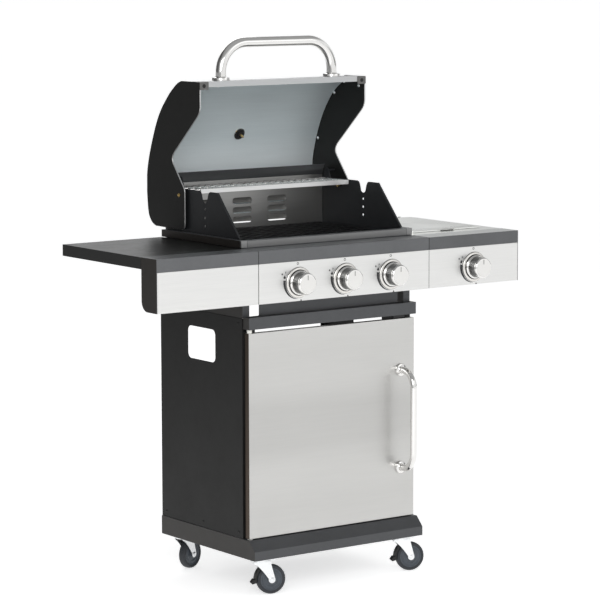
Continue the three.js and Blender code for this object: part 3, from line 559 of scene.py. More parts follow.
def add_plate(bm, outlines, axis, w0, w1, edge=0.0, edge_steps=2):
    """A flat plate: the first outline is the rim, the others are holes. Edges are rounded by edge."""
    data = bpy.data.curves.new("plate", "CURVE")
    data.dimensions = "2D"
    data.fill_mode = "BOTH"
    for outline in outlines:
        spline = data.splines.new("POLY")
        spline.points.add(len(outline) - 1)
        for point, (a, b) in zip(spline.points, outline):
            point.co = (a, b, 0, 1)
        spline.use_cyclic_u = True
    data.extrude = (w1 - w0) / 2 - edge
    data.bevel_depth = edge
    data.bevel_resolution = edge_steps
    data.offset = -edge
    helper = bpy.data.objects.new("plate", data)
    bpy.context.scene.collection.objects.link(helper)
    graph = bpy.context.evaluated_depsgraph_get()
    mesh = bpy.data.meshes.new_from_object(helper.evaluated_get(graph))
    plate = bmesh.new()
    plate.from_mesh(mesh)
    middle = (w0 + w1) / 2
    for vert in plate.verts:
        a, b, w = vert.co
        vert.co = axis_point(axis, a, b, w + middle)
    bmesh.ops.remove_doubles(plate, verts=plate.verts, dist=1e-3)
    bmesh.ops.recalc_face_normals(plate, faces=plate.faces)
    plate.to_mesh(mesh)
    plate.free()
    bm.from_mesh(mesh)
    bpy.data.objects.remove(helper)
    bpy.data.curves.remove(data)
    bpy.data.meshes.remove(mesh)


def mesh_of(name, bm, *materials):
    """A mesh in metres from a bmesh in millimetres, with its materials."""
    bmesh.ops.scale(bm, vec=(MM, MM, MM), verts=bm.verts)
    mesh = bpy.data.meshes.new(name)
    bm.to_mesh(mesh)
    bm.free()
    for material in materials:
        mesh.materials.append(MATERIALS[material])
    return mesh


def piece(name, body, material, bm, **how):
    """Makes a named piece from a bmesh in millimetres, with one material or several."""
    materials = (material,) if isinstance(material, str) else material
    return placed(name, mesh_of(name, bm, *materials), body, **how)


def placed(name, mesh, body, at=None, turn=None, bevel=0.0, sharp=35, replaces=(), flat=False, slot=None):
    """Puts a mesh into the scene as a named piece that rides on a body."""
    made = bpy.data.objects.new(name, mesh)
    bpy.context.scene.collection.objects.link(made)
    if not flat:
        mesh.shade_smooth()
        mesh.set_sharp_from_angle(angle=math.radians(sharp))
    place = Matrix.Translation(Vector(at) * MM) if at is not None else Matrix.Identity(4)
    made.matrix_world = place @ (turn.to_4x4() if turn is not None else Matrix.Identity(4))
    if bevel:
        round_edges(made, bevel)
    if not flat:
        weighted = made.modifiers.new("normals", "WEIGHTED_NORMAL")
        weighted.keep_sharp = True
    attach(made, body)
    if replaces:
        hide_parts(*replaces)
    return made


def solid(add, *args, **how):
    """A bmesh that holds one solid made by an add_ function."""
    bm = bmesh.new()
    add(bm, *args, **how)
    return bm


def mirrored(side, a, b):
    """Two coordinates mirrored to a side, the lower one first."""
    return sorted((side * a, side * b))


def round_edges(obj, width_mm):
    bevel = obj.modifiers.new("edges", "BEVEL")
    bevel.width = width_mm * MM
    bevel.segments = 2
    bevel.limit_method = "ANGLE"
    bevel.angle_limit = math.radians(35)
    bevel.use_clamp_overlap = True


def dress(node, material, bevel):
    """Gives a CAD node that stays its finish and rounds its edges."""
    obj = NODES[node]
    if not obj.material_slots:
        obj.data.materials.append(None)
    for holder in obj.material_slots:
        holder.link = "OBJECT"
        holder.material = MATERIALS[material]
    weld = obj.modifiers.new("weld", "WELD")
    weld.merge_threshold = 0.02 * MM
    flatten = obj.modifiers.new("flat", "DECIMATE")
    flatten.decimate_type = "DISSOLVE"
    flatten.angle_limit = math.radians(1)
    round_edges(obj, bevel)


UP_TO_MINUS_Y = Matrix.Rotation(math.radians(90), 4, "X")  # local Z points to the user
UP_TO_PLUS_Y = Matrix.Rotation(math.radians(-90), 4, "X")
UP_TO_PLUS_X = Matrix.Rotation(math.radians(90), 4, "Y")
UP_TO_MINUS_X = Matrix.Rotation(math.radians(-90), 4, "Y")
UPSIDE_DOWN = Matrix.Rotation(math.pi, 4, "X")
OUTWARD = {-1: UP_TO_MINUS_X, 1: UP_TO_PLUS_X}


def pan_head(bm, matrix, radius, height):
    """A domed screw head with a cross recess, standing on local z = 0."""
    dome = [(0, height * 0.55), (radius * 0.2, height * 0.55), (radius * 0.34, height)]
    dome += [(radius * math.cos(t), height * math.sin(t)) for t in (1.0, 0.75, 0.5, 0.25, 0.0)]
    dome += [(radius, -0.4), (0, -0.4)]
    add_lathe(bm, dome, 20, matrix)
    for turn in (0, 90):
        wing = matrix @ Matrix.Rotation(math.radians(turn), 4, "Z")
        for sign in (-1, 1):
            arm, half = (sign * 0.2 * radius, sign * 0.62 * radius), 0.09 * radius
            new = add_box(bm, *arm, -half, half, height * 0.72, height * 0.97)
            bmesh.ops.transform(bm, matrix=wing, verts=new)


def hex_head(bm, matrix, across, height, washer):
    """A hexagon head or nut with chamfered corners on a flat washer."""
    corner = across / math.sqrt(3)
    add_lathe(bm, [(0, -0.4), (washer, -0.4), (washer, 0.7), (washer - 0.5, 1.1), (0, 1.1)], 24, matrix)
    head = [(0, 1.1), (corner, 1.1), (corner, height - 0.7), (corner * 0.86, height), (0, height)]
    add_lathe(bm, head, 6, matrix)


def make_screws(name, body, points, turn, head, *size, finish="bright_zinc"):
    """One piece with a screw head at each point."""
    bm = bmesh.new()
    for point in points:
        head(bm, Matrix.Translation(point) @ turn, *size)
    piece(name, body, finish, bm)


# -------- CAD nodes that stay
STAYING = (  # finish, width of the rounded edges, CAD nodes
    ("black_powder_coat", 0.5, ("cabinet_left_panel", "cabinet_right_panel")),
    ("black_powder_coat", 0.4, ("cabinet_back_panel",)),
    ("black_powder_coat", 0.3, ("firebox_tub",)),
    ("shelf_top", 0.5, ("left_shelf",)),
    ("burner_cover", 0.4, ("right_shelf",)),
    ("grey_satin_paint", 0.4, ("firebox_rim", "fascia_left")),
    ("grey_satin_paint", 0.5, ("fascia_centre",)),
    ("grey_paint_painted_light", 0.4, ("fascia_right",)),
    ("cabinet_grey", 0.5, ("base_shelf", "cabinet_front_rail")),
    ("cabinet_grey", 0.4, ("firebox_support_left", "firebox_support_right", "heat_shield_panel")),
    ("cabinet_grey", 0.3, ("rear_brace",)),
    ("brushed_stainless", 0.5, ("control_panel", "left_front_panel", "right_front_panel")),
    ("brushed_stainless", 0.4, ("burner_left", "burner_centre", "burner_right")),
    ("door_skin", 0.6, ("door",)),
    ("galvanised_steel", 0.4, ("grease_tray",)),
    ("cast_iron", 0.8, ("cooking_grate", "side_burner_trivet")),
    ("cast_iron", 0.4, ("flame_tamer_left", "flame_tamer_centre", "flame_tamer_right")),
    ("brass", 0.5, ("gas_manifold",)),
    ("brass", 0.4, ("side_burner",)),
    ("bright_zinc", 0.4, ("caster_plate_front_left", "caster_plate_front_right", "caster_plate_rear_left",
                          "caster_plate_rear_right")),
    ("black_plastic", 0.8, ("brake_lever_front_left", "brake_lever_front_right")),
)


# -------- knobs and the marks round them
KNOBS = ("knob_1", "knob_2", "knob_3", "side_burner_knob")  # node and body have the same name


def knob_mesh():
    """A chrome skirt and cap with a brushed face, a pointer groove and a bore for the valve's spindle.

    Local Z points to the user.
    """
    bm = bmesh.new()
    skirt = [(4.4, 3.2), (30.0, 3.2), (31.0, 4.2), (31.0, 7.2), (30.0, 8.6), (28.2, 9.6), (27.4, 11.5)]
    cap = [(27.4, 34.0), (27.0, 36.2), (26.0, 38.2), (24.6, 39.4), (23.6, 39.6)]
    face = [(22.8, 39.2), (21.8, 39.2), (8, 39.35), (0, 39.4)]
    bore = [(0, 27.5), (4.4, 27.5)]
    add_lathe(bm, skirt + cap + face + bore, 72)
    for one in bm.faces:
        middle = one.calc_center_median()
        if math.hypot(middle.x, middle.y) < 23.7 and middle.z > 39.0:
            one.material_index = 1
        # The cap's side takes the dark copy of the chrome, a painted reflection.
        elif 11.5 < middle.z < 34.0:
            one.material_index = 3
    turned = len(bm.faces)
    add_box(bm, -1.1, 1.1, 9.5, 21.5, 39.3, 39.9)
    bm.faces.ensure_lookup_table()
    for one in bm.faces[turned:]:
        one.material_index = 2
    return mesh_of("knob", bm, "polished_chrome", "knob_face", "knob_groove", "knob_side_painted_reflection")


def make_knobs():
    mesh = knob_mesh()
    panel = node_box("control_panel")[0].y
    for node in KNOBS:
        low, high = node_box(node)
        x, z = (low.x + high.x) / 2, (low.z + high.z) / 2
        placed(f"{node}_cap", mesh, node, at=(x, panel, z), turn=UP_TO_MINUS_Y, replaces=(node,))
        bezel = [(31.8, 0.1), (38.5, 0.1), (38.5, 1.6), (37.6, 2.6), (34.4, 3.6), (33.0, 3.6), (31.8, 2.6)]
        piece(f"{node}_bezel", "cart", "knob_bezel", solid(add_lathe, bezel, 72), at=(x, panel - 0.05, z),
              turn=UP_TO_MINUS_Y)
        # Painted shade: two thin black rings, one in the gap between the cap's skirt and the bezel and one
        # round the bezel's rim, stand in for the shadows there.
        painted_shade_rings = bmesh.new()
        for inner, outer, height in ((31.2, 32.6, 3.9), (38.6, 39.2, 0.5)):
            add_lathe(painted_shade_rings, [(inner, 0.1), (outer, 0.1), (outer, height), (inner, height)], 72)
        piece(f"{node}_gap", "cart", "black_plastic", painted_shade_rings, at=(x, panel, z), turn=UP_TO_MINUS_Y)
        make_marks(node, x, z, panel)


def add_decal(bm, outline, x, z, y):
    add_prism(bm, [(x + a, z + b) for a, b in outline], "y", y - 0.18, y - 0.02)


def flame_outline(size):
    """A plain flame: round below, drawn to a bent tip above."""
    left = smooth_line([(0, -0.5), (-0.34, -0.38), (-0.42, -0.05), (-0.2, 0.22), (-0.02, 0.62)], 5)
    right = smooth_line([(-0.02, 0.62), (0.14, 0.3), (0.34, 0.12), (0.42, -0.12), (0.32, -0.4), (0, -0.5)], 5)
    return [(a * size, b * size) for a, b in (left + right[1:-1])][::-1]


def make_marks(node, x, z, panel):
    """Pictograms: a ring for off, a spark and flames, and a wedge that narrows as the flame gets lower."""
    bm = bmesh.new()
    ring = [arc(x - 3, z + 48.0, radius, 0, 360, 20)[:-1] for radius in (3.2, 2.0)]
    add_plate(bm, ring, "y", panel - 0.18, panel - 0.02)
    spark = [(1.6, 3.6), (-1.9, -0.4), (-0.2, -0.2), (-1.5, -3.6), (2.1, 0.8), (0.3, 0.5)]
    for outline, right, up in ((spark, -40.5, 27.5), (flame_outline(5.0), -51.0, 24.0),
                               (flame_outline(8.5), -43.5, 16.0), (flame_outline(4.8), 6.5, -44.5)):
        add_decal(bm, outline, x + right, z + up, panel)
    steps = 30
    start, stop = 170, 264  # the wedge's two ends round the knob, in degrees
    outer, inner = [], []
    for k in range(steps + 1):
        turn = math.radians(start + (stop - start) * k / steps)
        width = 7.4 * (1 - k / steps) ** 0.8 + 0.3
        for edge, radius in ((outer, 40.6 + width), (inner, 40.6)):
            edge.append((radius * math.cos(turn), radius * math.sin(turn)))
    add_decal(bm, outer + inner[::-1], x, z, panel)
    piece(f"{node}_marks", "cart", "printed_mark", bm, flat=True)


# -------- the lid
FIT_Y = 89.85  # row Y of the zero that the lid and the firebox are measured from
LID_PLATE_IN = 259.5
LID_PLATE_OUT = 263.5
LID_TOP = 1288.5
LID_LIP = 14  # height of the folded front edge
HINGE_Y = 36 + FIT_Y
HINGE_Z = 995


def lid_sheet_line():
    """The lid sheet's inner face as (y, z) points, from the lip over the back to its lower edge."""
    curve = smooth_line([
        (-12, 1287.4), (28, 1273.5), (76, 1240.5), (116, 1191), (144.5, 1136), (165, 1076), (171.5, 1030),
        (170, 975), (163, 940), (148, 917), (128, 909),
    ], 7)
    line = [(-62, LID_TOP - LID_LIP), (-62, LID_TOP), (-24, LID_TOP)] + curve
    return [(y + FIT_Y, z) for y, z in line]


def lid_plate_outline():
    """S-shaped towards the user, bowed towards the rear."""
    front = -62.8
    line = [(front, LID_TOP), (front, 1228)]
    line += bezier2((front, 1228), (front, 1212.5), (-48, 1198.5), 8)
    line += [(56, 1106)]
    line += bezier2((56, 1106), (74, 1090), (62, 1073), 12)
    line += [(14.5, 1014.5)]
    line += bezier2((14.5, 1014.5), (10, 1009), (10, 1000), 5)
    line += [(10, 925)]
    line += bezier2((10, 925), (10, 906), (29, 906), 8)
    line += smooth_line([
        (146, 907), (165, 916), (180, 938), (186, 980), (187, 1011), (184, 1056), (164, 1120.5), (130, 1193.5),
        (86, 1246), (48, 1277), (28, 1286.5), (18, LID_TOP),
    ], 6)
    return [(y + FIT_Y, z) for y, z in line]


def make_lid():
    line = lid_sheet_line()
    half = LID_PLATE_IN - 0.3
    shell = bmesh.new()
    add_sheet(shell, line, -SHEET, "x", -half, half)
    # The inner face gets the first material, the stainless copy with the painted reflection; the outer face
    # gets the plain brushed stainless.
    inside = Vector((0, FIT_Y, 1080))
    for face in shell.faces:
        to_inside = inside - face.calc_center_median()
        if to_inside.y * face.normal.y + to_inside.z * face.normal.z < 0:
            face.material_index = 1
    piece("lid_skin", "lid", ("lid_skin", "brushed_stainless"), shell, bevel=0.25, replaces=("lid_shell",))

    # The lip's face and its flat top are a separate light trim, folded over the sheet's edge.
    trim = [(-62.3 + FIT_Y, LID_TOP - LID_LIP), (-62.3 + FIT_Y, LID_TOP + 0.3), (-20 + FIT_Y, LID_TOP + 0.3)]
    piece("lid_lip_trim", "lid", "lip_trim", solid(add_sheet, trim, -0.25, "x", -half + 0.4, half - 0.4))

    outline = lid_plate_outline()
    for word, side in SIDES:
        plate = bmesh.new()
        add_plate(plate, [outline], "x", *mirrored(side, LID_PLATE_IN, LID_PLATE_OUT), edge=1.2, edge_steps=3)
        # Painted highlight: the plate's edges, except those that face the rear, take the lighter second
        # material where light catches them.
        for face in plate.faces:
            if abs(face.normal.x) < 0.75 and face.normal.y < 0.1:
                face.material_index = 1
        piece(f"lid_plate_{word}", "lid", ("black_powder_coat", "lid_edge_painted_highlight"), plate,
              replaces=(f"lid_{word}_plate",), sharp=50)
        ends = mirrored(side, LID_PLATE_IN - 23, LID_PLATE_OUT)
        bracket = rounded_rectangle(*ends, LID_TOP - 20.5, LID_TOP, 2.5)
        piece(f"lid_bracket_{word}", "lid", "bracket_grey",
              solid(add_plate, [bracket], "y", FIT_Y - 63.7, FIT_Y - 62.5), bevel=0.3)
        hinge = bmesh.new()
        head_at = Matrix.Translation((side * LID_PLATE_OUT, HINGE_Y, HINGE_Z))
        hex_head(hinge, head_at @ OUTWARD[side], 5.6, 3.4, 5.0)
        hinge_pin = Matrix.Translation((side * 247, HINGE_Y, HINGE_Z)) @ OUTWARD[side]
        add_lathe(hinge, [(0, 0), (3.6, 0), (3.6, 13), (0, 13)], 16, hinge_pin)
        add_lathe(hinge, [(0, -3), (6, -3), (6, 1.5), (0, 1.5)], 6, hinge_pin)
        piece(f"lid_hinge_bolt_{word}", "lid", "brass", hinge)
        screws = [(side * (LID_PLATE_IN - 0.1), y + FIT_Y, z)
                  for y, z in ((-38, 1262), (70, 1239), (144, 1114), (140, 960))]
        make_screws(f"lid_plate_screws_{word}", "lid", screws, OUTWARD[-side], pan_head, 4.2, 2.2)
        at = Matrix.Translation((side * (LID_PLATE_IN - 9), -63.6 + FIT_Y, 1278)) @ UP_TO_MINUS_Y
        bumper = [(0, -0.6), (5.0, -0.6), (5.0, 0.6), (4.4, 1.0), (2.8, 1.2), (2.0, 0.7), (0, 0.7)]
        piece(f"lid_bumper_{word}", "lid", "black_plastic", solid(add_lathe, bumper, 24, at))

    screws = [(x, -59 + FIT_Y, LID_TOP - LID_LIP + 0.3) for x in (-205, 6, 195)]
    make_screws("lid_lip_screws", "lid", screws, UPSIDE_DOWN, pan_head, 3.0, 2.0)


def make_lid_handle():
    low, high = node_box("lid_handle")
    radius = 13.2
    top = high.z - radius
    leg_x = 176
    leg_y = (low.y + high.y) / 2
    foot = LID_TOP + 0.3
    corners = [(-leg_x, leg_y, foot + 3), (-leg_x, leg_y, top), (leg_x, leg_y, top), (leg_x, leg_y, foot + 3)]
    bar = solid(add_sweep, rounded_path(corners, 76, 16), radius, 28)
    piece("lid_handle_bar", "lid", "polished_chrome", bar, replaces=("lid_handle",))
    ferrule = [(radius + 0.15, 0), (22.6, 0), (23.0, 0.5), (23.0, 5.6), (22.2, 7.2), (20.0, 8.0), (15.4, 8.4),
               (14.8, 9.2), (14.4, 10.4), (radius + 0.15, 10.4)]
    for word, side in SIDES:
        piece(f"lid_handle_ferrule_{word}", "lid", "polished_chrome", solid(add_lathe, ferrule, 48),
              at=(side * leg_x, leg_y, foot))


def make_thermometer():
    lean = math.radians(-67)
    place = Matrix.Translation((0, 143.8 + FIT_Y, 1136)) @ Matrix.Rotation(lean, 4, "X")
    case = [(0, 2.3), (26, 2.3), (29.2, 4.6), (30, 6.2), (30, 9.6), (29.2, 11.4), (27.6, 12.3), (26.2, 12.0),
            (25.4, 10.2), (0, 10.2)]
    piece("thermometer_case", "lid", "polished_chrome", solid(add_lathe, case, 64, place),
          replaces=("thermometer",))
    piece("thermometer_dial", "lid", "dial_card",
          solid(add_lathe, [(0, 10.3), (25.2, 10.3), (25.2, 10.6), (0, 10.6)], 48, place))
    ticks = bmesh.new()
    count = 25
    for k in range(count):
        turn = math.radians(225 - 270 * k / (count - 1))
        inner = 18.5 if k % 4 == 0 else 20.8
        run = Vector((math.cos(turn), math.sin(turn)))
        half = Vector((-run.y, run.x)) * (0.45 if k % 4 == 0 else 0.25)
        corners = [run * inner - half, run * 23.6 - half, run * 23.6 + half, run * inner + half]
        new = add_prism(ticks, [tuple(c) for c in corners], "z", 10.55, 10.75)
        bmesh.ops.transform(ticks, matrix=place, verts=new)
    piece("thermometer_ticks", "lid", "printed_mark", ticks, flat=True)
    needle = bmesh.new()
    new = add_prism(needle, [(-1.1, -5), (1.1, -5), (0.35, 17.5), (-0.35, 17.5)], "z", 11.0, 11.4)
    bmesh.ops.transform(needle, matrix=place @ Matrix.Rotation(math.radians(135), 4, "Z"), verts=new)
    add_lathe(needle, [(0, 10.6), (2.2, 10.6), (2.2, 11.8), (0, 12.0)], 20, place)
    piece("thermometer_needle", "lid", "needle_red", needle)
    probe = [(0, -21.9), (2.2, -21.2), (2.9, -19), (2.9, -8), (3.9, -8), (3.9, 2.3), (0, 2.3)]
    for name, finish, profile, sides in (
        ("stem", "brass", probe, 20),
        ("nut", "cast_iron", [(4.0, -9), (7.0, -9), (7.6, -8.4), (7.6, -4.2), (7.0, -3.6), (4.0, -3.6)], 6),
        ("washer", "black_plastic", [(4.1, -3.5), (13.2, -3.5), (14, -2.9), (14, -1.6), (4.1, -1.6)], 32),
        ("seat", "polished_chrome", [(14.1, -2.3), (16.2, -2.3), (16.4, -1.6), (14.1, -1.6)], 32),
    ):
        slot = "black_plastic" if name == "nut" else None
        piece(f"thermometer_{name}", "lid", finish, solid(add_lathe, profile, sides, place), slot=slot)


# -------- the firebox's upper parts
def make_side_plates():
    bottom, top, rim = 882.4, 1011.5, 901
    notch, corner, foot = -67.6, -129.7, -229.2
    outline = [(foot, bottom), (116, bottom), (116, top), (notch + 26, top)]
    outline += bezier2((notch + 26, top), (notch + 18, top), (notch + 14, top - 10), 6)
    outline += arc(notch, 992, 11, 0, -180, 14)
    outline += [(notch - 14, top - 10)]
    outline += bezier2((notch - 14, top - 10), (notch - 18, top), (notch - 26, top), 6)
    outline += [(corner, top), (foot, rim)]
    outline = [(y + FIT_Y, z) for y, z in outline]
    holes = [arc(notch + FIT_Y, z, 3, 0, 360, 14)[:-1] for z in (922.5, 943.5, 964.5)]
    holes.append(arc(HINGE_Y, HINGE_Z, 4, 0, 360, 14)[:-1])
    slope = [(foot + 1.5 + FIT_Y, rim + 1.6), (corner + 0.3 + FIT_Y, top - 0.1)]
    for word, side in SIDES:
        bm = bmesh.new()
        add_plate(bm, [outline] + holes, "x", *mirrored(side, 251.8, 253), edge=0.25, edge_steps=1)
        add_sheet(bm, slope, -SHEET, "x", *mirrored(side, 252.9, 258))
        piece(f"side_wall_{word}", "cart", "inner_black", bm, replaces=(f"side_plate_{word}",))


def make_rear_wall():
    low, high = node_box("rear_wall")
    half = high.x
    front = 114 + FIT_Y
    columns = (-124, -11.5, 101)
    rows = (911, 936, 961)
    wide, tall = 31, 8.5
    holes = [rounded_rectangle(x - wide, x + wide, z - tall, z + tall, 7.5, 4) for x in columns for z in rows]
    sheet = [(-half, low.z), (half, low.z), (half, 1018.6), (-half, 1018.6)]
    wall = solid(add_plate, [sheet] + holes, "y", front, front + SHEET, edge=0.2, edge_steps=1)
    piece("rear_wall_sheet", "cart", "galvanised_steel", wall, replaces=("rear_wall",))
    # The band is the same galvanised sheet, given the darker copy as painted shade.
    band = solid(add_sheet, [(front, 1018.7), (103 + FIT_Y, 1046)], -SHEET, "x", -half, half)
    piece("rear_wall_band", "cart", "galvanised_painted_shade", band, bevel=0.2)

    # The hoods take the darker copy of the galvanised steel as painted shade.
    hoods = bmesh.new()
    deep = 6.5  # how far a hood stands out from the wall
    steps, spans = 8, 12
    thick = Vector((0, 0.9, 0.5))
    for x in columns:
        for z in rows:
            rings = []
            for k in range(steps + 1):
                turn = math.pi / 2 * k / steps
                depth = deep * math.sin(turn)
                height = z + tall - (2 * tall - 2.5) * (1 - math.cos(turn))
                inset = 7.0 * (1 - math.sin(turn)) ** 2
                inner = []
                for t in range(spans + 1):
                    share = t / spans * 2 - 1
                    out = SHEET * 0.5 + depth * (1 - abs(share) ** 6)
                    inner.append(Vector((x + share * (wide - inset), front + out, height)))
                rings.append(inner + [point + thick for point in inner[::-1]])
            verts = skin(hoods, rings, "open")
            around = 2 * spans + 2
            faces = []
            for ring in (verts[:around], verts[-around:]):
                for t in range(spans):
                    faces.append(hoods.faces.new((ring[t], ring[t + 1], ring[-t - 2], ring[-t - 1])))
            bmesh.ops.recalc_face_normals(hoods, faces=list({f for v in verts for f in v.link_faces}))
    piece("rear_wall_louvres", "cart", "louvre_painted_shade", hoods, sharp=60)


def make_warming_rack():
    low, high = node_box("warming_rack")
    half = 236
    front, rear = low.y, high.y
    top = 1013
    piece("rack_front_strip", "warming_rack", "rack_strip",
          solid(add_box, -half, half, front, front + 2, top - 12, top), bevel=0.6, replaces=("warming_rack",))
    wires = bmesh.new()
    count = 23
    for i in range(count):
        x = -half + 9 + i * (2 * half - 18) / (count - 1)
        path = [(x, front + 2.6, top - 9), (x, front + 3.0, top - 3.6), (x, front + 6.5, top - 1.6),
                (x, front + 26, top - 1.2), (x, (front + rear) / 2, top - 2.4), (x, rear - 24, top - 1.2),
                (x, rear - 6, top - 1.8), (x, rear - 2.6, top - 4.5), (x, rear - 2.4, top - 7)]
        add_sweep(wires, path, 1.4, 8)
    piece("rack_wires", "warming_rack", "polished_chrome", wires)
    frame_rods = bmesh.new()
    for y in (front + 34, (front + rear) / 2, rear - 30):
        add_sweep(frame_rods, [(-half + 1, y, top - 5.2), (half - 1, y, top - 5.2)], 2, 10)
    add_sweep(frame_rods, [(-half + 1, rear - 3, top - 7.4), (half - 1, rear - 3, top - 7.4)], 2.4, 10)
    piece("rack_cross_rods", "warming_rack", "polished_chrome", frame_rods)
    pivot_y, pivot_z = 70 + FIT_Y, 1032
    for word, side in SIDES:
        arm = bmesh.new()
        w0, w1 = mirrored(side, half - 2, half)
        hanger = [(pivot_y - 19, top - 7), (pivot_y + 19, top - 7), (pivot_y + 8, pivot_z + 1)]
        hanger += arc(pivot_y, pivot_z, 7.5, 10, 170, 8)[1:-1] + [(pivot_y - 8, pivot_z + 1)]
        add_plate(arm, [hanger], "x", w0, w1)
        add_box(arm, w0, w1, front + 1, rear - 1, top - 8, top - 5.5)
        add_sweep(arm, [(w0 if side < 0 else w1, pivot_y, pivot_z), (side * 262, pivot_y, pivot_z)], 3, 14)
        piece(f"rack_arm_{word}", "warming_rack", "inner_black", arm, bevel=0.3, slot="polished_chrome")


def make_seams():
    """Dark strips set back in the joints of the front, where the centre meets the two side shelves."""
    strips = bmesh.new()
    for centre, left, right in (("control_panel", "left_front_panel", "right_front_panel"),
                                ("fascia_centre", "fascia_left", "fascia_right")):
        low, high = node_box(centre)
        for x0, x1 in ((node_box(left)[1].x, low.x), (high.x, node_box(right)[0].x)):
            add_box(strips, x0 + 0.05, x1 - 0.05, low.y + 0.5, low.y + 1.1, low.z + 0.4, high.z - 0.4)
    piece("front_joint_strips", "cart", "black_plastic", strips, flat=True)


def make_rim_trim():
    """Bright caps on the rim's front corners, and along each side a row of thin black marks: painted shade
    standing in for small slots.
    """
    low, high = node_box("firebox_rim")
    for word, side in SIDES:
        ends = mirrored(side, high.x + 0.3, high.x - 17)
        piece(f"rim_cap_{word}", "cart", "rim_cap",
              solid(add_box, *ends, low.y - 0.6, low.y + 6, low.z + 1.2, high.z + 0.2), bevel=0.7)
        # Painted shade: thin black marks where small slots would show dark.
        painted_slot_shade = bmesh.new()
        count = 9
        w0, w1 = mirrored(side, high.x + 0.2, high.x - 1)
        for i in range(count):
            y = low.y + 26 + i * (high.y - low.y - 60) / (count - 1)
            add_plate(painted_slot_shade, [rounded_rectangle(y - 7, y + 7, low.z + 1.0, low.z + 2.8, 0.8, 3)], "x", w0, w1)
        piece(f"rim_pads_{word}", "cart", "black_plastic", painted_slot_shade, bevel=0.15)
    piece("rim_front_trim", "cart", "rim_strip",
          solid(add_box, -high.x + 18.5, high.x - 18.5, low.y - 0.45, low.y + 0.2, low.z + 1.6, high.z - 0.8),
          bevel=0.2)


def add_pan(bm, x0, x1, y0, y1, levels, corner, thickness):
    """A pressed pan of one thickness; each level is the inset of its rounded rectangle and its height."""
    inside = [(inset + thickness, z - thickness) for inset, z in levels]
    inside[0] = (levels[0][0] + thickness, levels[0][1])
    rings = []
    for inset, z in inside[::-1] + levels:
        radius = max(1.0, corner - inset)
        outline = rounded_rectangle(x0 + inset, x1 - inset, y0 + inset, y1 - inset, radius, 5)
        rings.append([(a, b, z) for a, b in outline])
    skin(bm, rings)


def make_burner_cover():
    """The side burner's lid: a pressed sheet with a raised field, a finger tab, and hinge ears."""
    low, high = node_box("side_burner_lid")
    rear = high.y - 4
    levels = [(0, low.z), (0, high.z - 3.2), (0.6, high.z - 2), (1.8, high.z - 1.4), (13, high.z - 1.2),
              (15, high.z - 0.6), (17.5, high.z)]
    cover = solid(add_pan, low.x, high.x, low.y, rear, levels, 9, 0.9)
    piece("burner_cover", "side_burner_lid", "burner_cover", cover, replaces=("side_burner_lid",), sharp=40)
    middle = (low.x + high.x) / 2
    tab = [(middle + 27 * math.cos(t), low.y + 1.5 + 10 * math.sin(t))
           for t in (math.pi * (1 + k / 16) for k in range(17))]
    piece("burner_cover_tab", "side_burner_lid", "burner_cover",
          solid(add_plate, [tab], "z", high.z - 3.6, high.z - 2.6), bevel=0.3)
    piece("burner_cover_grip", "side_burner_lid", "black_plastic",
          solid(add_box, middle - 22, middle + 22, low.y - 0.6, low.y + 0.5, low.z + 0.4, high.z - 3.8),
          bevel=0.3)
    ears = bmesh.new()
    pins = bmesh.new()
    pin_y, pin_z = high.y - 2.2, 886
    for x in (low.x + 55, high.x - 55):
        add_sweep(pins, [(x - 20, pin_y, pin_z), (x + 20, pin_y, pin_z)], 2.1, 14)
        for k in (-18, 18):
            ear = arc(pin_y, pin_z, 3.9, -90, 90, 8) + [(pin_y - 6, pin_z + 1.9), (pin_y - 6, pin_z - 3.4)]
            add_plate(ears, [ear], "x", x + k - 2.4, x + k + 2.4)
    piece("burner_hinge_pins", "side_burner_lid", "bright_zinc", pins)
    piece("burner_hinge_ears", "side_burner_lid", "burner_cover", ears, bevel=0.3)


# -------- the door and the cabinet's fittings
def make_door_fittings():
    low, high = node_box("door_handle")
    x = (low.x + high.x) / 2
    face = node_box("door")[0].y
    bottom, top = 278.5, 535.5
    radius = 8.9
    reach = low.y + radius
    corners = [(x, face - 2, bottom), (x, reach, bottom), (x, reach, top), (x, face - 2, top)]
    bar = solid(add_sweep, rounded_path(corners, 42, 14), radius, 24)
    piece("door_handle_bar", "door", "polished_chrome", bar, replaces=("door_handle",))
    ferrule = [(radius + 0.15, 0.3), (16.0, 0.3), (16.4, 0.8), (16.4, 4.0), (15.4, 5.6), (12.6, 6.4),
               (10.8, 7.2), (10.3, 8), (radius + 0.15, 8)]
    for word, z in (("lower", bottom), ("upper", top)):
        piece(f"door_handle_ferrule_{word}", "door", "polished_chrome", solid(add_lathe, ferrule, 40),
              at=(x, face, z), turn=UP_TO_MINUS_Y)
        make_screws(f"door_handle_screw_{word}", "door", [(x, face + SHEET, z)], UP_TO_PLUS_Y, pan_head,
                    5, 2.6)

    pin_x, pin_y = -255, -175.15
    for word, z0, z1 in (("lower", 144.6, 147.0), ("upper", 669.7, 679.3)):
        piece(f"door_bush_{word}", "cart", "white_nylon",
              solid(add_lathe, [(3.3, z0), (6.4, z0), (6.4, z1 - 0.2), (3.3, z1 - 0.2)], 24,
                    Matrix.Translation((pin_x, pin_y, 0))))
    piece("door_hinge_spacer", "cart", "black_plastic", solid(add_box, -247, -238, -176, -167, 670.2, 679.2),
          bevel=0.8)
    catch = bmesh.new()
    add_box(catch, 196, 232, -182, -168, 671.6, 679.4)
    add_box(catch, 205, 223, -180, -170, 670.2, 671.8)
    piece("door_magnet_catch", "cart", "black_plastic", catch, bevel=0.8)

    piece("door_stiffener", "door", "galvanised_steel",
          solid(add_sheet, [(-60, -180.5), (-60, -176), (-20, -176), (20, -176), (60, -176), (60, -180.5)],
                SHEET, "z", 160, 656), bevel=0.2)


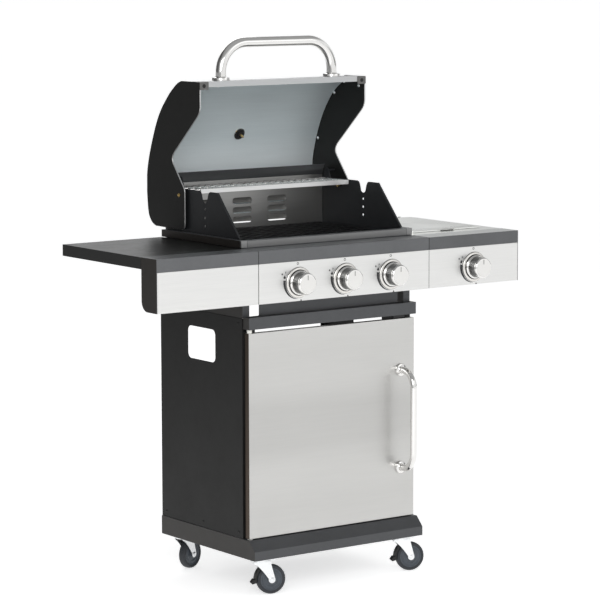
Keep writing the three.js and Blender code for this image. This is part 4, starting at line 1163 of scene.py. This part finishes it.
def make_cabinet_fittings():
    for word, side in SIDES:
        screws = [(side * 266.9, y, z)
                  for y, z in ((-142, 160), (-142, 692), (20, 160), (190, 160), (190, 692))]
        make_screws(f"cabinet_screws_{word}", "cart", screws, OUTWARD[side], pan_head, 3.4, 1.6,
                    finish="black_plastic")
        screws = [(side * 258.5, 210.9, z) for z in (170, 300, 640, 690)]
        make_screws(f"cabinet_back_screws_{word}", "cart", screws, UP_TO_PLUS_Y, pan_head, 3.6, 1.8)


# -------- casters
# name, x and y of the swivel axis, and how far the wheel has swung round it in degrees
CASTERS = (("front_left", -224, -176.15, -18), ("front_right", 224, -176.15, -18),
           ("rear_left", -224, 173.85, 20), ("rear_right", 224, 173.85, 35))
TRAIL = 26  # from the swivel axis to the axle
WHEEL_R = 38
BOLTS_Z = 92.5  # height at which the bolt heads hang under the caster's top plate


def wheel_meshes():
    """Tyre and hub, about the axle, which is local Z."""
    half = 10.5
    tyre = bmesh.new()
    side = [(30.0, half - 1.6), (31.2, half - 0.7), (32.6, half - 0.2), (34.4, half), (35.8, half - 0.9),
            (36.8, half - 2.4), (37.6, half - 4.6), (38.0, half - 7.5)]
    tread = side + [(38.0, 0.0)]
    profile = tread + [(r, -h) for r, h in reversed(side)] + [(29.0, -half + 2.2), (29.0, half - 2.2)]
    add_lathe(tyre, profile, 64)
    hub = bmesh.new()
    face = [(4.6, 8.6), (8.4, 8.6), (9.2, 8.0), (9.6, 6.4), (15.5, 6.0), (17.2, 6.3), (18.0, 7.4),
            (19.4, 8.2), (22.0, 8.4), (23.2, 7.6), (24.0, 6.6), (26.4, 6.6), (27.2, 7.8), (28.9, 8.3)]
    add_lathe(hub, face + [(28.9, -8.3)] + [(r, -h) for r, h in reversed(face[:-1])], 64)
    return mesh_of("tyre", tyre, "caster_tyre"), mesh_of("hub", hub, "caster_hub")


def fork_mesh():
    """Crown, raceway and two legs about the swivel axis; the wheel trails along local +X."""
    bm = bmesh.new()
    top = 88.2
    leg = [(-23.5, top - 1.6), (-20.5, top - 7)]
    foot = arc(TRAIL, WHEEL_R, 8.8, 165, 375, 18)
    leg += bezier2((-20.5, top - 7), (-6, top - 14), foot[0], 12)[:-1]
    leg += foot
    leg += [(24.5, top - 12), (24.0, top - 1.6)]
    for sign, outward in ((-1, UP_TO_MINUS_Y), (1, UP_TO_PLUS_Y)):
        add_plate(bm, [leg], "y", *mirrored(sign, 12, 14.3))
        hex_head(bm, Matrix.Translation((TRAIL, sign * 14.3, WHEEL_R)) @ outward, 9, 3.6, 6.2)
    crown = arc(0, 0, 24, 118, 242, 16) + [(24, -14.3), (24, 14.3)]
    crown = [(max(a, -24.5), max(-14.3, min(14.3, b))) for a, b in crown]
    add_prism(bm, crown, "z", top - 3.2, top)
    race = [(0, top - 9), (7, top - 9), (9, top - 7.4), (15.5, top - 3.0), (15.5, top - 0.1), (0, top - 0.1)]
    add_lathe(bm, race, 32)
    add_lathe(bm, [(0, -14), (3.9, -14), (3.9, 14), (0, 14)], 16,
              Matrix.Translation((TRAIL, 0, WHEEL_R)) @ UP_TO_PLUS_Y)
    return mesh_of("fork", bm, "bright_zinc")


def make_casters():
    tyre, hub = wheel_meshes()
    fork = fork_mesh()
    for name, x, y, turn in CASTERS:
        swivel = Matrix.Rotation(math.radians(turn), 4, "Z")
        placed(f"fork_{name}", fork, f"caster_{name}", at=(x, y, 0), turn=swivel, bevel=0.4,
               replaces=(f"caster_fork_{name}",))
        axle = Vector((x, y, WHEEL_R)) + swivel @ Vector((TRAIL, 0, 0))
        spin = swivel @ UP_TO_PLUS_Y
        placed(f"tyre_{name}", tyre, f"wheel_{name}", at=axle, turn=spin, replaces=(f"caster_wheel_{name}",))
        placed(f"hub_{name}", hub, f"wheel_{name}", at=axle, turn=spin)
        piece(f"race_{name}", "cart", "bright_zinc",
              solid(add_lathe, [(0, 88.9), (19.5, 88.9), (21.5, 90.2), (21.5, 92.2), (0, 92.2)], 36,
                    Matrix.Translation((x, y, 0))))
        bolts = [(x + dx, y + dy, BOLTS_Z) for dx in (-23.5, 23.5) for dy in (-23.5, 23.5)]
        make_screws(f"plate_bolts_{name}", "cart", bolts, UPSIDE_DOWN, hex_head, 7, 3.2, 4.6)


# -------- assembly
make_materials()
make_camera()
make_studio()
for finish, bevel, nodes in STAYING:
    for node in nodes:
        dress(node, finish, bevel)
make_knobs()
make_lid()
make_lid_handle()
make_thermometer()
make_side_plates()
make_rear_wall()
make_warming_rack()
make_seams()
make_rim_trim()
make_burner_cover()
make_door_fittings()
make_cabinet_fittings()
make_casters()

bpy.context.scene.view_settings.view_transform = "Standard"
